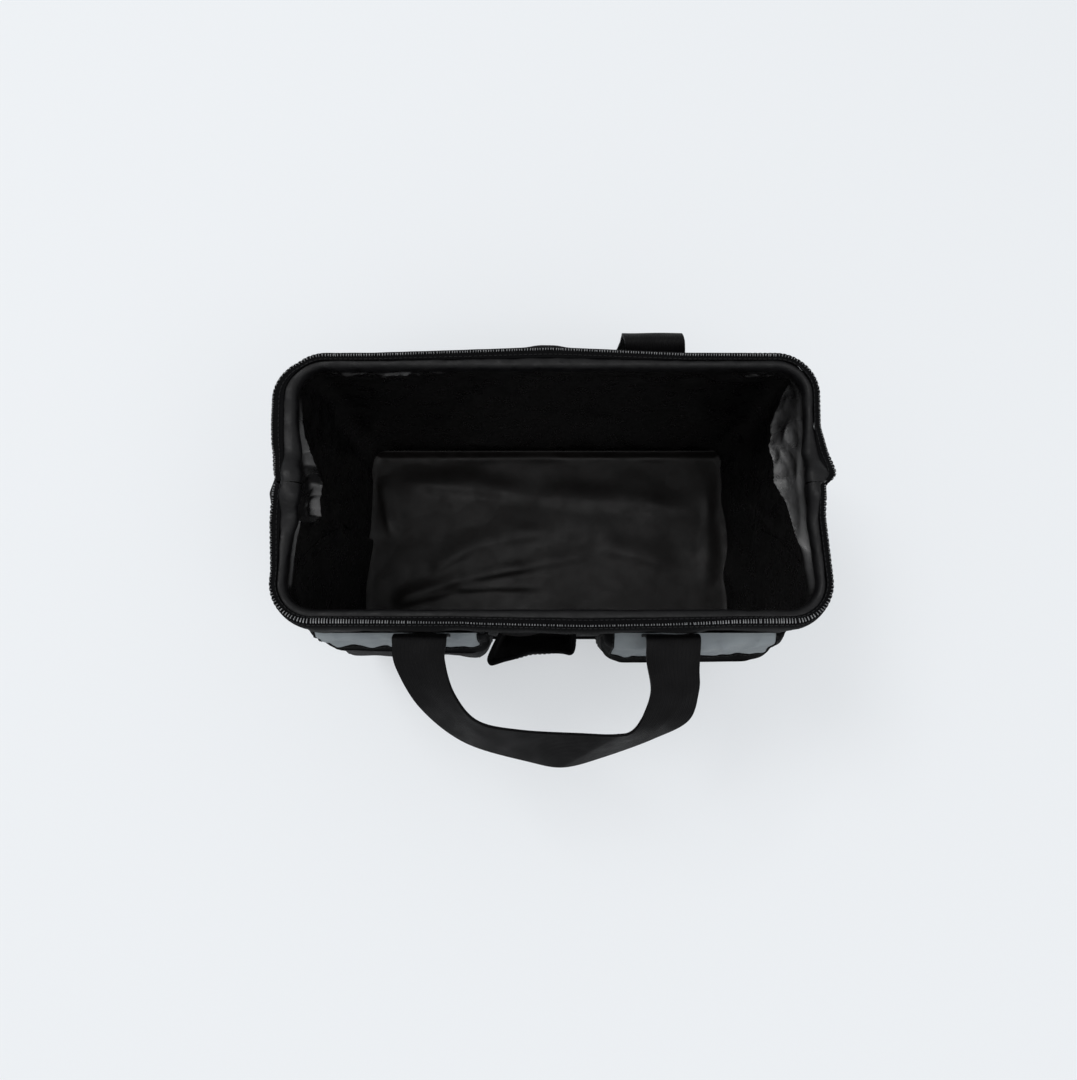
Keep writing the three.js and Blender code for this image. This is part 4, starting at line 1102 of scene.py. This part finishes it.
def sew(name, lines):
    """One mesh of stitches along lines of points with their normals"""
    thread_ring = oval(2, 2, stitch_sides)
    run, thickness, height = stitch_stations.T[:, :, None]
    points, cloth = [], []
    for line, normals in lines:
        travelled = distances(line)
        middles = (np.arange(int(travelled[-1] / stitch_pitch)) + 0.5) * stitch_pitch
        centre = at_distances(line, travelled, middles)
        rise = unit(at_distances(normals, travelled, middles))
        before, after = (at_distances(line, travelled, middles + step) for step in (-1, 1))
        along = unit(after - before)
        across = np.cross(rise, along)
        centres = (centre[:, None] + along[:, None] * run * stitch_length
                   + rise[:, None] * height * stitch_radius)
        section = thread_ring[None] * thickness[:, :, None] * stitch_radius
        points.append((centres[:, :, None] + across[:, None, None] * section[..., :1]
                       + rise[:, None, None] * section[..., 1:]).reshape(-1, 3))
        shape = (len(middles), len(stitch_stations), stitch_sides)
        girth = np.arange(stitch_sides) * 0.38
        cloth.append(np.stack([np.broadcast_to(part, shape) for part in (run * stitch_length, girth)],
                              axis=-1).reshape(-1, 2))
    points, cloth = np.concatenate(points), np.concatenate(cloth)
    count = len(points) // (len(stitch_stations) * stitch_sides)
    return write_mesh(name, points, tube_faces(count, len(stitch_stations), stitch_sides), cloth, thread)


for body, lines in stitch_lines.items():
    stitches = sew(f"{body}_stitches", lines)
    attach(stitches, body)

# Frames, rivets, board, slider and pull: steel wire and rivets, pressed board of grey-brown fibre, and
# nickel-plated zip metal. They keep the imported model's shapes, with their edges eased.
steel = Finish("frame_steel", roughness=0.32, metallic=1.0)
steel.colours(steel.noise(9, 5, stretch=(1, 1, 6)), (0.3, (0.34, 0.34, 0.35)), (0.75, (0.60, 0.60, 0.61)))
steel.feed("Roughness", 0.25 + 0.25 * steel.noise(4, 4).band(0.3, 0.7))
steel.bump(steel.noise(1.2, 3), 0.08)
nickel = Finish("zip_nickel", roughness=0.26, metallic=1.0)
nickel.colours(nickel.noise(5, 5), (0.3, (0.30, 0.30, 0.31)), (0.75, (0.55, 0.55, 0.56)))
nickel.feed("Roughness", 0.18 + 0.25 * nickel.noise(2.5, 4).band(0.3, 0.7))
nickel.bump(nickel.noise(1.5, 3), 0.1)
pressed_board = Finish("pressed_board", roughness=0.9)
pressed_board.colours(pressed_board.noise(2, 5, stretch=(1, 6, 1)),
                      (0.3, (0.055, 0.045, 0.036)), (0.7, (0.11, 0.092, 0.074)))
pressed_board.bump(pressed_board.noise(1.2, 4), 0.2)
for node, finish in (("front_frame", steel), ("rear_frame", steel), ("left_rivet", steel),
                     ("right_rivet", steel), ("base_board", pressed_board), ("zip_slider", nickel),
                     ("zip_pull", nickel)):
    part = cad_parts[node]
    for place in part.material_slots:
        place.material = finish.material
    edges = part.modifiers.new("eased_edges", "BEVEL")
    edges.width = 0.25 * MM
    edges.segments = 2
    edges.limit_method = "ANGLE"
    edges.angle_limit = math.radians(35)

# Studio: the photograph's camera, 10.5 degrees from straight down, over a pale floor whose glow only the
# camera and mirrors see. Soft light comes from behind at the left, from the front at the right and from
# overhead.
camera_data = bpy.data.cameras.new("camera")
camera_data.sensor_width = 36
camera_data.lens = 24.7
camera = bpy.data.objects.new("camera", camera_data)
camera.location = (-0.0093, -0.140, 0.760)
camera.rotation_euler = (math.radians(10.5), 0, 0)
paper = Finish("studio_paper", roughness=0.9)
paper.feed("Base Color", (0.43, 0.44, 0.45, 1))
paper.feed("Emission Color", (0.92, 0.95, 0.98, 1))
seen_directly = paper.node("ShaderNodeLightPath", {}, {}, "Is Camera Ray")
seen_mirrored = paper.node("ShaderNodeLightPath", {}, {}, "Is Glossy Ray")
paper.feed("Emission Strength", 0.44 * (seen_directly + seen_mirrored))
floor_reach = 6
floor_shape = bmesh.new()
bmesh.ops.create_grid(floor_shape, x_segments=1, y_segments=1, size=floor_reach)
floor_mesh = bpy.data.meshes.new("studio_floor")
floor_shape.to_mesh(floor_mesh)
floor_shape.free()
floor_mesh.materials.append(paper.material)
studio_floor = bpy.data.objects.new("studio_floor", floor_mesh)
world = bpy.data.worlds.new("studio")
world.use_nodes = True
sky = world.node_tree.nodes["Background"]
sky.inputs["Color"].default_value = (0.965, 0.98, 1.0, 1)
sky.inputs["Strength"].default_value = 0.6
lamp_target = Vector((0, 0, 0.1))
lamps = []
for name, place, size, power in (("key", (-1.7, 1.4, 3.4), 1.3, 38), ("fill", (2.2, -1.6, 3.2), 1.6, 14),
                                 ("top", (0.0, -0.9, 3.5), 2.0, 28)):
    lamp_data = bpy.data.lights.new(name, "AREA")
    lamp_data.size = size
    lamp_data.energy = power
    lamp = bpy.data.objects.new(name, lamp_data)
    lamp.location = place
    lamp.rotation_euler = (lamp_target - lamp.location).to_track_quat("-Z", "Y").to_euler()
    lamps.append(lamp)
for thing in (camera, studio_floor, *lamps):
    bpy.context.scene.collection.objects.link(thing)
bpy.context.scene.world = world
bpy.context.scene.camera = camera
bpy.context.scene.view_settings.view_transform = "Standard"

low, high = cad_bounds
